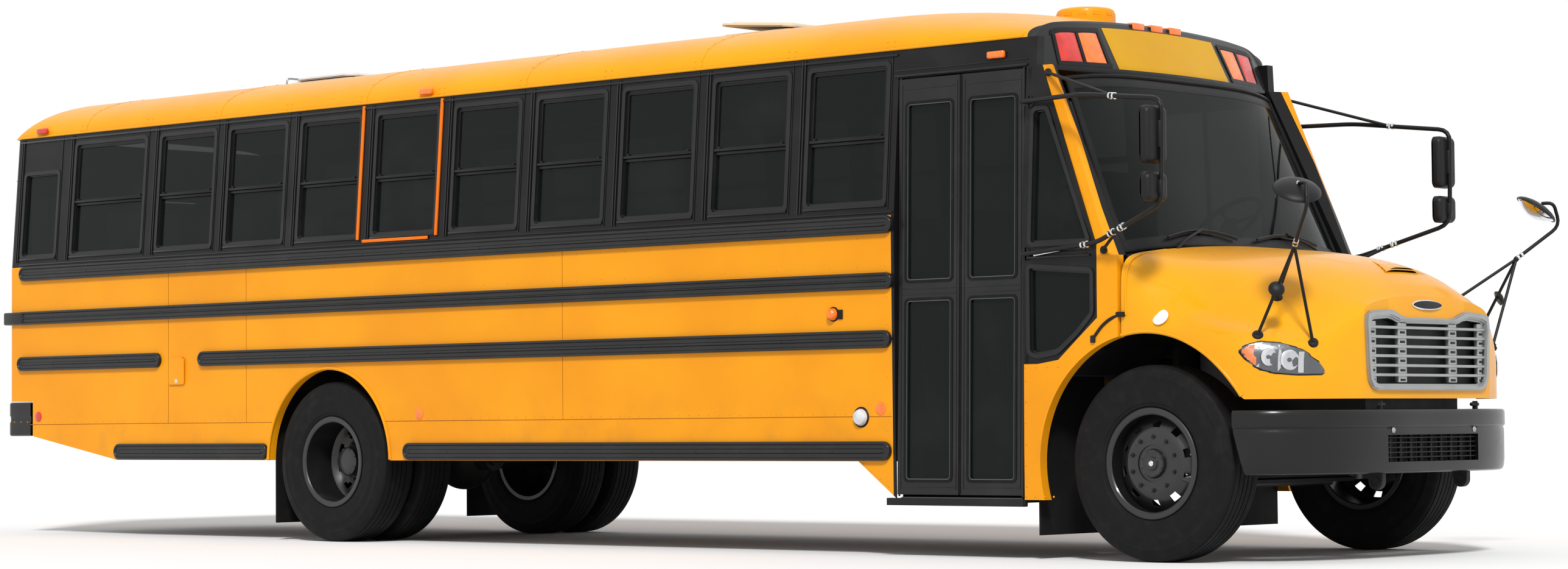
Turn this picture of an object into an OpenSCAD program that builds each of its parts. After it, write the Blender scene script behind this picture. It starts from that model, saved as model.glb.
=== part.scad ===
// Bonneted school bus on a two-axle truck chassis, in millimetres.
// +X is forward, +Y is left, +Z is up and z = 0 is the ground.
// Modules measure x from the front axle; bus_frame() then puts the origin
// under the middle of the whole bus.

/* [Overall] */
// Distance between the front and the rear axle
wheelbase = 6579; // [5800:1:7600]
// Body width over the side walls
body_w = 2438; // [2300:2:2560]
// Rear wall behind the rear axle
rear_overhang = 3536; // [3200:2:4000]
// Height of the roof crown
roof_top = 3168; // [3100:2:3400]
// Height of the roof's lower edge, at the drip rail
roof_edge = 2864; // [2820:2:2900]
// Height of the floor's top face
floor_top = 1035; // [1010:1:1080]

/* [Side walls] */
// Thickness of the side and rear walls
wall_t = 60; // [50:1:70]
// Lower edge of the side skirts
skirt_z = 535; // [480:1:600]
// Height where the wall starts to lean in
tumble_z = 1900; // [1850:1:1980]
// How far the wall leans in at the roof's edge
tumble_in = 71; // [40:1:90]
// Rear edge of the entrance, behind the front axle
door_rear = 1713; // [1600:1:1800]
// Clear width of the entrance
door_w = 915; // [800:1:1000]
// Top of the entrance
door_top = 2700; // [2600:1:2720]

/* [Windows] */
// Width of one passenger window
window_w = 606; // [480:1:640]
// Distance from one window to the next
window_pitch = 753; // [700:1:800]
// Lower edge of the glass
window_low = 1990; // [1950:1:2050]
// Upper edge of the glass
window_high = 2795; // [2500:1:2810]
// Width of the narrow rearmost window
quarter_w = 408; // [300:1:450]
// Thickness of every glass pane
glass_t = 6; // [4:1:10]

/* [Wheels] */
// Outer radius of the tyres
tyre_r = 525; // [480:1:540]
// Width of one tyre
tyre_w = 280; // [230:1:300]
// Seat radius of the rims
rim_r = 286; // [260:1:300]
// Distance of a front wheel's middle from the centre line
front_track = 1025; // [1000:1:1040]
// Distance of a kingpin from the centre line
kingpin_y = 870; // [850:1:880]
// Distance of the outer rear tyre's middle from the centre line
dual_outer = 1060; // [1040:1:1075]
// Distance between the middles of twin tyres
dual_gap = 337; // [320:1:350]
// Radius of the front wheel arch
front_arch_r = 690; // [670:1:720]
// Radius of the rear wheel arch
rear_arch_r = 605; // [585:1:640]

/* [Chassis] */
// Distance of a frame rail's middle from the centre line
rail_y = 430; // [410:1:440]
// Height of the frame rail's web
rail_h = 255; // [200:1:280]
// Top face of the frame rails
rail_top = 880; // [850:1:890]
// Wall thickness of the frame rails
rail_t = 10; // [8:1:14]
// Radius of the kingpins
kingpin_r = 20; // [16:1:26]
// Radius of the front spindles
spindle_r = 40; // [34:1:46]
// Radius of the tow eyes
tow_eye_r = 22; // [18:1:26]

/* [Front end] */
// Front face of the bumper
bumper_face = 1048; // [1040:1:1090]
// Furthest point forward of the crossview mirror arms
mirror_reach = 1097; // [1095:1:1140]
// Lower edge of the hood
hood_low = 860; // [855:1:880]
// Thickness of the hood's skin
hood_skin = 24; // [16:1:30]
// Windshield lean from upright
glass_lean = 25.3; // [20:0.1:30]

/* [Doors and hatches] */
// Thickness of the entrance leaves
leaf_t = 35; // [28:1:45]
// Inward lean of the entrance leaves
leaf_lean = 1.3; // [0.5:0.1:1.5]
// Half the width of the rear door opening
rear_door_half = 488; // [420:1:520]
// Top of the rear door opening
rear_door_top = 2470; // [2350:1:2500]
// Side of a roof hatch lid
hatch_w = 600; // [500:1:640]
// How far the front hatch stands open behind
hatch_lift = 5; // [3:0.5:8]

/* [Hidden] */
$fn = 48;

half_w = body_w / 2;
rear_x = -wheelbase - rear_overhang;
edge_y = half_w - tumble_in;
cab_x = -160;                 // front edge of the cab sides, behind the hood
door_front = -door_rear + door_w;
inner_y = half_w - wall_t;
floor_t = 35;
floor_low = floor_top - floor_t;
run_fit = 0.08;               // radial clearance of turning pins and shafts
seat_gap = 0.3;               // gap between pieces that only touch
move_gap = 6;                 // gap round pieces that move
arch_z = 530;                 // height of both wheel arches' centres
arm_r = 11;                   // radius of the mirror arms
rear_bumper_out = 27;         // how far the rear bumper stands behind the wall
bumper_t = 12;
rear_face = rear_x - rear_bumper_out;
front_face = mirror_reach + arm_r;
front_axle_x = -(rear_face + front_face) / 2;
yellow = [0.95, 0.62, 0.10];
black = [0.12, 0.12, 0.12];
steel = [0.25, 0.25, 0.27];
rubber = [0.08, 0.08, 0.08];

// ---------- helpers ----------
module bus_frame() translate([front_axle_x, 0, 0]) children();
module along_x(x0, x1) translate([x0, 0, 0]) rotate([90, 0, 90]) linear_extrude(x1 - x0) children();
module along_y(y0, y1) translate([0, y1, 0]) rotate([90, 0, 0]) linear_extrude(y1 - y0) children();
module along_z(z0, z1) translate([0, 0, z0]) linear_extrude(z1 - z0) children();
module block(x, y, z) translate([x[0], y[0], z[0]]) cube([x[1] - x[0], y[1] - y[0], z[1] - z[0]]);
module left_and_right() { children(); mirror([0, 1, 0]) children(); }

// Round bar between two points
module bar(a, b, r) {
  low = a[2] < b[2] ? a : b;
  d = a[2] < b[2] ? b - a : a - b;
  translate(low) rotate([0, acos(d[2] / norm(d)), atan2(d[1], d[0])]) cylinder(r = r, h = norm(d));
}

// Bent round bar through points, with a ball at each bend
module bent_bar(points, r) {
  for (i = [0:len(points) - 2]) bar(points[i], points[i + 1], r);
  for (i = [1:len(points) - 2]) translate(points[i]) sphere(r = r * 1.12);
}

// Cylinder along Y, centred on y
module y_disc(x, y, z, r, w) translate([x, y + w / 2, z]) rotate([90, 0, 0]) cylinder(r = r, h = w);

// Corner points of a rectangle with rounded corners
function round_rect(a, b, r, n = 5) = [for (c = [[b[0] - r, b[1] - r, 0], [a[0] + r, b[1] - r, 90],
  [a[0] + r, a[1] + r, 180], [b[0] - r, a[1] + r, 270]], i = [0:n])
  [c[0] + r * cos(c[2] + 90 * i / n), c[1] + r * sin(c[2] + 90 * i / n)]];

function lerp(a, b, t) = a + (b - a) * t;

// Closed skin between an outer and an inner grid of points.
// Rows run from the first end to the last; flip turns the faces round.
module skin(outer, inner, flip = false) {
  n = len(outer);
  m = len(outer[0]);
  o = function(i, j) i * m + j;
  k = function(i, j) n * m + i * m + j;
  quads = concat(
    [for (i = [0:n - 2], j = [0:m - 2]) [o(i, j), o(i, j + 1), o(i + 1, j + 1), o(i + 1, j)]],
    [for (i = [0:n - 2], j = [0:m - 2]) [k(i, j), k(i + 1, j), k(i + 1, j + 1), k(i, j + 1)]],
    [for (i = [0:n - 2]) [o(i, 0), o(i + 1, 0), k(i + 1, 0), k(i, 0)]],
    [for (i = [0:n - 2]) [o(i, m - 1), k(i, m - 1), k(i + 1, m - 1), o(i + 1, m - 1)]],
    [for (j = [0:m - 2]) [o(0, j), k(0, j), k(0, j + 1), o(0, j + 1)]],
    [for (j = [0:m - 2]) [o(n - 1, j), o(n - 1, j + 1), k(n - 1, j + 1), k(n - 1, j)]]);
  tris = [for (q = quads, t = [[q[0], q[1], q[2]], [q[0], q[2], q[3]]]) flip ? [t[2], t[1], t[0]] : t];
  polyhedron([for (g = [outer, inner], row = g, p = row) p], tris);
}

// ---------- side walls ----------
// Distance of the wall's outer face from the centre line at height z
function wall_y(z) = half_w - max(0, z - tumble_z) * tumble_in / (roof_edge - tumble_z);

// Wall section in the y-z plane between two depths from the outer face
module wall_section(z0, d0, d1) polygon([
  [half_w - d0, z0], [half_w - d0, tumble_z], [edge_y - d0, roof_edge],
  [edge_y - d1, roof_edge], [half_w - d1, tumble_z], [half_w - d1, z0]]);

// Windows of one side, each as [rear x, front x, low z, high z]
window_gap = window_pitch - window_w;
first_window = -door_rear - 69;
window_run = -rear_x + first_window;
tail_len = quarter_w + 2 * window_gap + 140;
window_n = floor((window_run - tail_len - window_w) / window_pitch);
wide_front = first_window - window_n * window_pitch - 12;
quarter_rear = rear_x + 140;
wide_rear = quarter_rear + quarter_w + 183;
side_windows = concat(
  [for (i = [0:window_n - 1]) [first_window - i * window_pitch - window_w, first_window - i * window_pitch,
    window_low, window_high]],
  [[wide_rear, wide_front, window_low, window_high],
   [quarter_rear, quarter_rear + quarter_w, window_low, window_high - 190]]);
corner_r = 34;

// Corner points of the small cab windows, in the x-z plane
cab_glass_z = 1715;
vent_window = [[-745, 2440], [-728, 2462], [-660, 2466], [-645, 2455], [-340, cab_glass_z], [-745, cab_glass_z]];
sill_window = [[-757, 1600], [-325, 1565], [-325, 1330], [-430, 1225], [-560, 1125], [-700, 1105], [-757, 1125]];
driver_window = round_rect([-1640, 1700], [-820, 2640], 40);

// Front boundary of the cab side: windshield pillar, cowl and hood seam
pillar_foot = [-316, 1751];
pillar_head = [-668, 2649];
pillar_run = (pillar_head[0] - pillar_foot[0]) / (pillar_head[1] - pillar_foot[1]);
cowl_top_z = 1640;

module window_cuts(lists) along_y(-half_w - 1, half_w + 1)
  for (w = lists) polygon(round_rect([w[0], w[2]], [w[1], w[3]], corner_r));

module side_wall() {
  difference() {
    union() {
      along_x(rear_x + wall_t + seat_gap, cab_x) wall_section(skirt_z, 0, wall_t);
      along_x(door_front, -500) wall_section(327, 0, wall_t);
    }
    window_cuts(side_windows);
    along_y(-half_w - 1, half_w + 1) {
      polygon(vent_window);
      polygon(sill_window);
      // open space for the windshield and its pillars
      polygon([[cab_x + 1, cowl_top_z], [pillar_x(cowl_top_z), cowl_top_z],
        [pillar_x(door_top), door_top], [pillar_head[0] - 60, door_top + 6],
        [pillar_head[0] - 60, roof_edge + 1], [cab_x + 1, roof_edge + 1]]);
      // rear skirt that slopes up to the bumper
      polygon([[rear_x - 1, skirt_z - 1], [-wheelbase - 2257, skirt_z - 1], [-wheelbase - 2257, skirt_z],
        [rear_x + 295, 704], [rear_x + 295, 955], [rear_x - 1, 955]]);
    }
    y_disc(0, 0, arch_z, front_arch_r, body_w + 2, $fn = 180);
    y_disc(-wheelbase, 0, arch_z, rear_arch_r, body_w + 2, $fn = 180);
  }
}

fuel_x = -wheelbase - 1578;
fuel_z = 1144;
fuel_half = 85;
module right_wall() color(yellow) difference() {
  union() {
    mirror([0, 1, 0]) side_wall();
    // stepwell guard behind the entrance
    along_y(-half_w, -half_w + 10) polygon([[-door_rear - 277, skirt_z], [-door_rear, 330],
      [-door_rear, skirt_z]]);
  }
  block([-door_rear, door_front], [-half_w - 1, -edge_y + wall_t + 1], [skirt_z - 250, door_top]);
  block([fuel_x - 70, fuel_x + 70], [-half_w - 1, -half_w + wall_t + 1], [fuel_z - 70, fuel_z + 70]);
}

module left_wall() color(yellow) difference() {
  side_wall();
  along_y(half_w - 2 * wall_t, half_w + 1) polygon(driver_window);
}

rear_window = [[620, 1950], [1060, 2450]];
// Rounded rear corner post: slice at height z
module post_slice(z) let (w = wall_y(z), r = wall_t - 4)
  translate([rear_x, 0, z]) linear_extrude(0.5) polygon(concat([[wall_t, w - wall_t], [wall_t, w]],
    [for (a = [90:15:180]) [r + r * cos(a), w - r + r * sin(a)]], [[0, w - wall_t]]));

module rear_wall() color(yellow) {
  rear_panel();
  left_and_right() hull() {
    post_slice(955);
    post_slice(tumble_z);
    post_slice(roof_edge - 0.5);
  }
}

module rear_panel() difference() {
  along_x(rear_x, rear_x + wall_t) polygon([
    [inner_y, 955], [inner_y, tumble_z], [edge_y - wall_t, roof_edge],
    [-edge_y + wall_t, roof_edge], [-inner_y, tumble_z], [-inner_y, 955]]);
  block([rear_x - 1, rear_x + wall_t + 1], [-rear_door_half, rear_door_half], [floor_top + 5, rear_door_top]);
  left_and_right() along_x(rear_x - 1, rear_x + wall_t + 1)
    polygon(round_rect(rear_window[0], rear_window[1], corner_r));
}

module body_glass() color([0.1, 0.12, 0.12, 0.6]) {
  left_and_right() intersection() {
    along_x(rear_x, cab_x) wall_section(skirt_z, 20, 20 + glass_t);
    along_y(0, half_w) {
      for (w = side_windows) polygon(round_rect([w[0] + seat_gap, w[2] + seat_gap],
        [w[1] - seat_gap, w[3] - seat_gap], corner_r));
      polygon(vent_window);
      polygon(sill_window);
    }
  }
  intersection() {
    along_x(rear_x, cab_x) wall_section(skirt_z, 20, 20 + glass_t);
    along_y(0, half_w) polygon(driver_window);
  }
  left_and_right() along_x(rear_x + 25, rear_x + 25 + glass_t)
    polygon(round_rect(rear_window[0], rear_window[1], corner_r));
  windshield();
}

// ---------- roof ----------
roof_front = -800;
dome_start = -2300;           // the roof starts to fall towards the front here
dome_len = 330;               // length of the rounded rear end
cap_drop = 168;               // fall of the crown at the front edge of the roof
roof_power = 2.35;            // squareness of the roof's section
roof_skin = 45;

function crown_at(x) = roof_top - (x > dome_start
  ? cap_drop * pow((x - dome_start) / (roof_front - dome_start), 2.2) : 0);
// share of the full height at step s of the rounded rear end
function dome_share(s) = pow(1 - pow(1 - max(s, 0.01), 2.4), 1 / 2.4);

// One arch of the roof; inset makes the inner face
function roof_row(x, inset, n = 20, share = 1) = let (
    w = edge_y - inset,
    h = (crown_at(x) - inset - roof_edge) * share)
  [for (i = [0:n]) let (a = 180 * i / n, c = cos(a), s = sin(a))
    [x, sign(c) * w * pow(abs(c), 2 / roof_power), roof_edge + h * pow(abs(s), 2 / roof_power)]];

rear_steps = [0, 0.03, 0.08, 0.16, 0.28, 0.45, 0.7, 1];
front_steps = [0, 0.3, 0.5, 0.68, 0.84, 1];
function roof_rows(inset) = concat(
  [for (s = rear_steps) roof_row(rear_x + inset + s * (dome_len - inset), inset, 20, dome_share(s))],
  [for (s = front_steps) roof_row(lerp(dome_start, roof_front, s), inset)]);

front_hatch_x = -3600;
rear_hatch_x = -wheelbase - 1120;
hatch_frame = 40;             // width of the hatch frames
module roof() color(yellow) difference() {
  skin(roof_rows(0), roof_rows(roof_skin), true);
  for (x = [front_hatch_x, rear_hatch_x]) hatch_hole(x);
}

module hatch_hole(x) block([x - hatch_w / 2 + hatch_frame, x + hatch_w / 2 - hatch_frame],
  [-hatch_w / 2 + hatch_frame, hatch_w / 2 - hatch_frame], [roof_edge + 20, roof_top + 5]);

// ---------- windshield, its frame and the lamp cap ----------
glass_foot = [-110, 1700];    // x and z of the glass at the centre line's foot
frame_head = 2685;
glass_bend = 112;             // how far the glass wraps back at its ends
glass_half = 1060;

// Plan curve of the windshield, y against x, in the leaning plane
function glass_x(y) = -glass_bend * pow(abs(y) / 1050, 4);
function glass_band(d0, d1, w, n = 16) = concat(
  [for (i = [-n:n]) [glass_x(w * i / n) - d0, w * i / n]],
  [for (i = [n:-1:-n]) [glass_x(w * i / n) - d1, w * i / n]]);

// Places children in the windshield's leaning frame
module leaning() translate([glass_foot[0], 0, glass_foot[1]]) rotate([0, -glass_lean, 0]) children();
glass_len = (frame_head - glass_foot[1]) / cos(glass_lean);

module windshield() leaning() difference() {
  translate([0, 0, 15]) linear_extrude(glass_len - 30) polygon(glass_band(8, 8 + glass_t, glass_half));
  // the side edges follow the pillars, which lean in
  left_and_right() translate([-400, glass_half + 30 - 8, 0]) rotate([4.6, 0, 0]) cube([500, 200, 1200]);
}

// Windshield pillars, header and the cowl's top rail
pillar_low_z = cowl_top_z + seat_gap;
function pillar_x(z) = pillar_foot[0] + (z - pillar_foot[1]) * pillar_run;
function glass_edge_x(z) = glass_foot[0] - (z - glass_foot[1]) * tan(glass_lean) - glass_bend;
module pillar_slice(z) translate([0, 0, z]) linear_extrude(1) polygon([
  [pillar_x(z) + seat_gap, wall_y(z)], [pillar_x(z) + 60, wall_y(z) - 4],
  [glass_edge_x(z) + 12, wall_y(z) - 42], [glass_edge_x(z) + 22, wall_y(z) - 90],
  [glass_edge_x(z) + 8, wall_y(z) - 122], [pillar_x(z) + seat_gap, wall_y(z) - 122]]);

module windshield_frame() color(yellow) {
  left_and_right() hull() {
    pillar_slice(pillar_low_z);
    pillar_slice(door_top - 1);
  }
  // header above the glass
  leaning() difference() {
    translate([0, 0, glass_len - 14.5]) linear_extrude(16) polygon(glass_band(-2, 60, 1010));
  }
}

module cowl() color(black) {
  difference() {
    union() {
      block([-330, -290], [-inner_y + seat_gap, inner_y - seat_gap], [floor_low, cowl_top_z]);
      // shelf under the glass
      translate([0, 0, cowl_top_z - 25]) linear_extrude(25) polygon(concat([[-331, -1150]],
        [for (i = [-12:12]) [glass_foot[0] - 28 + glass_x(1120 * i / 12), 1120 * i / 12]], [[-331, 1150]]));
      leaning() translate([0, 0, -50]) linear_extrude(64.5) polygon(glass_band(12, 46, 1046));
    }
    cylinder_space();
  }
  // inner liners of the front wheel arches
  left_and_right() intersection() {
    difference() {
      y_disc(0, (inner_y + 480) / 2, arch_z, front_arch_r + 20, inner_y - 480 - 2 * seat_gap, $fn = 180);
      y_disc(0, 0, arch_z, front_arch_r, body_w, $fn = 180);
    }
    block([-540, -330], [400, half_w], [floor_low + seat_gap, 1400]);
  }
}
module cylinder_space() left_and_right()
  y_disc(0, (half_w + 480) / 2, arch_z, front_arch_r + 20 + seat_gap, half_w - 480 + 2, $fn = 180);

// Lamp and sign cap over the windshield, a closed box of five rows from side to side
cap_low = door_top + 2;
cap_n = 16;
cap_back_x = roof_front + seat_gap;
cap_rows = let (roof = roof_row(cap_back_x, 0, cap_n)) [for (r = [0:4]) [for (i = [0:cap_n]) let (
    u = cos(180 * i / cap_n),
    y = u * 1130,
    top = [max(roof_front + 3, -764 - 26 * pow(y / 1000, 4)), y,
      2998 - 45 * pow(y / 1000, 2) - 110 * pow(max(0, abs(y) - 900) / 230, 2)])
  r == 0 ? [cap_back_x, u * 1150, cap_low]
  : r == 1 ? [-585 - 130 * pow(y / 1000, 2), y, cap_low]
  : r == 2 ? top
  : r == 3 ? lerp(top, roof[i], 0.5) + [6, 0, 10 * sin(180 * i / cap_n)]
  : roof[i]]];

// Closed solid whose rows go round it, each running from one end to the other
module tube(rows) {
  n = len(rows);
  m = len(rows[0]);
  sides = [for (i = [0:n - 1], j = [0:m - 2]) let (a = i * m + j, b = (i + 1) % n * m + j)
    each [[a, b + 1, b], [a, a + 1, b + 1]]];
  ends = [for (i = [1:n - 2]) each [[0, i * m, (i + 1) * m], [m - 1, (i + 1) * m + m - 1, i * m + m - 1]]];
  polyhedron([for (row = rows, p = row) p], concat(sides, ends));
}

cap_side_x = pillar_head[0] - 60 + seat_gap;
module front_cap() color(black) difference() {
  tube(cap_rows);
  // room for the side walls
  left_and_right() block([roof_front - 1, cap_side_x], [edge_y - wall_t - seat_gap, half_w],
    [cap_low - 1, roof_edge + seat_gap]);
}

// ---------- frame, engine and running gear ----------
rail_half = 37;               // half the width of a rail's flanges
rail_low = rail_top - rail_h;
web_in = rail_y + rail_half - rail_t;
rail_front = 900;
rail_back = rear_face + bumper_t;
axle_z = tyre_r;
bearing_x = lerp(-1100, -wheelbase + 900, 1 / 3);
cross_x = concat([860, -1100], [for (i = [1:3]) lerp(-1100, -wheelbase + 900, i / 3)],
  [-wheelbase - 750, -wheelbase - 2650, rail_back + 160]);
shaft_z = 720;                // height of the gearbox output

module frame_rails() color(black) {
  left_and_right() difference() {
    block([rail_back, rail_front], [rail_y - rail_half, rail_y + rail_half], [rail_low, rail_top]);
    block([rail_back - 1, rail_front + 1], [rail_y - rail_half - 1, web_in],
      [rail_low + rail_t, rail_top - rail_t]);
  }
  for (x = cross_x) block([x - 40, x + 40], [-web_in, web_in], [rail_top - 75, rail_top - rail_t]);
}

module engine() color(steel) {
  block([-270, 560], [-300, 300], [rail_low + 15, 1470]);
  block([-1000, -270], [-190, 190], [rail_low + 15, rail_top - 8]);
  block([-60, 60], [-web_in, web_in], [740, 790]);
}

module radiator() color(black) {
  block([700, 785], [-385, 385], [670, 1390]);
  block([720, 760], [-web_in, web_in], [700, 740]);
}

boss_low = 450;
boss_high = 600;
boss_r = 44;
beam_top = 500;
module front_axle() color(black) difference() {
  union() {
    along_y(-760, 760) polygon([[-50, 400], [50, 400], [50, 420], [14, 430], [14, 470], [50, 480],
      [50, beam_top], [-50, beam_top], [-50, 480], [-14, 470], [-14, 430], [-50, 420]]);
    left_and_right() {
      block([-36, 36], [700, kingpin_y], [boss_low + 3, boss_high - 40]);
      translate([0, kingpin_y, boss_low]) cylinder(r = boss_r, h = boss_high - boss_low);
    }
  }
  left_and_right() translate([0, kingpin_y, boss_low - 1]) cylinder(r = kingpin_r + run_fit, h = 200);
}

dual_mid = dual_outer - dual_gap / 2;
rear_spindle_r = 55;
module rear_axle() color(black) {
  y_disc(-wheelbase, 0, axle_z, 68, 2 * (dual_mid - 235));
  y_disc(-wheelbase, 0, axle_z, rear_spindle_r, 2 * (dual_outer - 20));
  translate([-wheelbase, 0, axle_z]) sphere(r = 205);
  translate([-wheelbase, 0, axle_z + 20]) rotate([0, 90, 0]) cylinder(r = 95, h = 300);
}

// Leaf spring: half length, seat height and end height
module leaf_spring(x, y, half, z0, z1, t, w) along_y(y - w / 2, y + w / 2) polygon(concat(
  [for (i = [-6:6]) [x + half * i / 6, z0 + (z1 - z0) * pow(i / 6, 2)]],
  [for (i = [6:-1:-6]) [x + half * i / 6, z0 + 18 + (t - 18) * (1 - abs(i / 6))
    + (z1 - z0) * pow(i / 6, 2)]]));

module leaf_springs() color(black) left_and_right() {
  leaf_spring(0, rail_y, 600, beam_top, 560, 58, 74);
  for (x = [-600, 600]) block([x - 32, x + 32], [rail_y - 36, rail_y + 36], [555, rail_low]);
  leaf_spring(-wheelbase, rail_y + 90, 720, axle_z + 68, 640, 72, 74);
  for (s = [-1, 1]) block([-wheelbase + s * 720 - 34, -wheelbase + s * 720 + 34],
    [rail_y + rail_half, rail_y + 126], [636, 800]);
}

module drive_shaft() color(black) {
  bearing_z = lerp(shaft_z, axle_z + 20, 1 / 3);
  nose = -wheelbase + 300;
  bar([-1000 - seat_gap - 12, 0, shaft_z], [bearing_x, 0, bearing_z], 44);
  bar([bearing_x, 0, bearing_z], [nose + seat_gap + 12, 0, axle_z + 20], 44);
  for (e = [[-1000 - seat_gap - 24, shaft_z], [nose + seat_gap, axle_z + 20]])
    translate([e[0], 0, e[1]]) rotate([0, 90, 0]) cylinder(r = 62, h = 24);
  block([bearing_x - 36, bearing_x + 36], [-58, 58], [bearing_z - 62, rail_top - 75]);
}

exhaust_y = 640;
exhaust_z = 740;
tail_y = rail_y + 85;         // the tail pipe passes between frame and inner tyre
module exhaust() color(steel) {
  bent_bar([[-60, 250, rail_low + 15 - seat_gap], [-60, 250, 560], [-900, 330, 560], [-1100, 560, 565],
    [-1200, exhaust_y, 700], [-1260, exhaust_y, exhaust_z]], 36);
  translate([-1250, exhaust_y, exhaust_z]) rotate([0, -90, 0]) cylinder(r = 115, h = 1300);
  bent_bar([[-2540, exhaust_y, exhaust_z], [-wheelbase + 900, exhaust_y, exhaust_z],
    [-wheelbase + 740, tail_y, 846], [-wheelbase - 780, tail_y, 846], [-wheelbase - 950, exhaust_y, 700],
    [rear_x + 30, exhaust_y, 640]], 30);
  for (x = [hanger_x(0), hanger_x(4)]) block([x - 15, x + 15], [exhaust_y - 20, exhaust_y + 20],
    [exhaust_z, rail_top - seat_gap]);
}
function hanger_x(i) = -2100 - i * beam_pitch;

tank_x = -wheelbase - 2420;
tank_len = 1300;
module fuel_tank() color(black) {
  along_x(tank_x, tank_x + tank_len) polygon(round_rect([-335, 560], [335, 860], 60));
  for (x = [tank_x + 200, tank_x + tank_len - 200])
    block([x - 40, x + 40], [-web_in, web_in], [rail_low + rail_t, rail_low + rail_t + 16]);
  // filler neck over the rail, through the floor and out to the flap
  bent_bar([[fuel_x, -280, 850], [fuel_x, -280, neck_z], [fuel_x, neck_y, neck_z],
    [fuel_x, neck_y, fuel_z], [fuel_x, -half_w + 34, fuel_z]], neck_r);
}
neck_r = 30;
neck_y = -1100;
neck_z = 940;

// ---------- bumpers and flaps ----------
bumper_end_x = 545;
bumper_half = half_w - 9;
function bumper_x(y, inset) = bumper_end_x + (bumper_face - bumper_end_x - inset)
  * sqrt(max(0, 1 - pow(abs(y) / (bumper_half - inset), 3.2)));
function bumper_band(n = 22) = concat(
  [for (i = [-n:n]) let (y = bumper_half * sin(90 * i / n)) [bumper_x(y, 0), y]],
  [for (i = [n:-1:-n]) let (y = (bumper_half - bumper_t) * sin(90 * i / n)) [bumper_x(y, bumper_t), y]]);
bumper_low = 464;
bumper_top = 805;
hinge_x = 1000;
hinge_z = 828;
tow_eye_x = 943;
tow_eye_z = 420;                // the eyes hang clear of the bumper, so a pin can pass from either side
tow_lug = 42;
module front_bumper() color(black) difference() {
  union() {
    difference() {
      along_z(bumper_low, bumper_top) polygon(bumper_band());
      // lower intake
      along_x(bumper_face - 80, bumper_face + 1) polygon(round_rect([-462, 525], [462, 668], 40));
      // rear ends lean forward towards the ground
      along_y(-half_w, half_w) polygon([[500, bumper_low - 1], [642, bumper_low - 1], [612, 479],
        [550, 705], [500, 900]]);
    }
    left_and_right() {
      block([rail_front, bumper_x(rail_y, bumper_t) + 2], [rail_y - 40, rail_y + 40], [650, 800]);
      block([tow_eye_x - tow_lug, tow_eye_x + tow_lug], [rail_y - 40, rail_y + 40], [tow_eye_z, 660]);
      y_disc(tow_eye_x, rail_y, tow_eye_z, tow_lug, 80);
      block([hinge_x - 16, hinge_x + 14], [rail_y + 46, rail_y + 66], [760, hinge_z + 18]);
      block([hinge_x - 16, hinge_x + 14], [rail_y + 20, rail_y + 66], [760, 800]);
      y_disc(hinge_x, rail_y + 20, hinge_z, 10, 60);
    }
  }
  // tow eyes through the two lugs
  left_and_right() y_disc(tow_eye_x, rail_y, tow_eye_z, tow_eye_r, 90);
}

module rear_bumper() color(black) {
  along_z(705, 949) difference() {
    polygon(concat(round_rect([rear_face, -half_w - 4], [rear_face + 400, half_w + 4], 70)));
    polygon(concat(round_rect([rear_face + bumper_t, -half_w - 4 + bumper_t],
      [rear_face + 401, half_w + 4 - bumper_t], 60)));
    translate([rear_face + 297, -half_w - 10]) square([200, 2 * half_w + 20]);
  }
  left_and_right() block([rear_face + bumper_t - 1, rail_back + 120],
    [rail_y + rail_half, rail_y + rail_half + 12], [720, 860]);
}

module mud_flaps() color(rubber) left_and_right() {
  block([-wheelbase - 612, -wheelbase - 602], [585, inner_y - 4], [116, floor_low]);
  block([-750, -740], [585, inner_y - 4], [133, floor_low]);
}

// ---------- floor and steps ----------
step_d = 246;                 // depth of one tread
step_1 = 330;                 // height of the lowest tread
riser = (floor_top - step_1) / 3;
well_y = -half_w + 3 * step_d;
house_half = 600;             // half length of the rear wheel housings
house_y = 562;
house_top = 1190;
beam_pitch = 690;
module floor() color([0.2, 0.2, 0.21]) {
  difference() {
    union() {
      block([rear_x + wall_t + seat_gap, -331], [-inner_y + seat_gap, inner_y - seat_gap], [floor_low, floor_top]);
      for (i = [0:floor((-rear_x - 2200) / beam_pitch)]) let (x = -2100 - i * beam_pitch)
        if (abs(x + wheelbase) > house_half + 70 && abs(x - fuel_x) > 90)
          block([x - 30, x + 30], [-inner_y + 1, inner_y - 1], [rail_top, floor_low + 1]);
      block([-655, -605], [-470, 470], [rail_top, floor_low + 1]);
    }
    block([-door_rear, door_front], [-half_w, well_y], [rail_top - 1, floor_top + 1]);
    left_and_right() block([-wheelbase - house_half, -wheelbase + house_half], [house_y, half_w],
      [rail_top - 1, floor_top + 1]);
    cylinder_space();
    translate([fuel_x, neck_y, rail_top]) cylinder(r = neck_r + 1, h = 200);
  }
  // wheel housings over the rear tyres
  left_and_right() difference() {
    block([-wheelbase - house_half - 15, -wheelbase + house_half + 15], [house_y - 15, inner_y - seat_gap],
      [floor_top, house_top]);
    block([-wheelbase - house_half, -wheelbase + house_half], [house_y, inner_y + 1],
      [floor_top - 1, house_top - 15]);
  }
}

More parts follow.
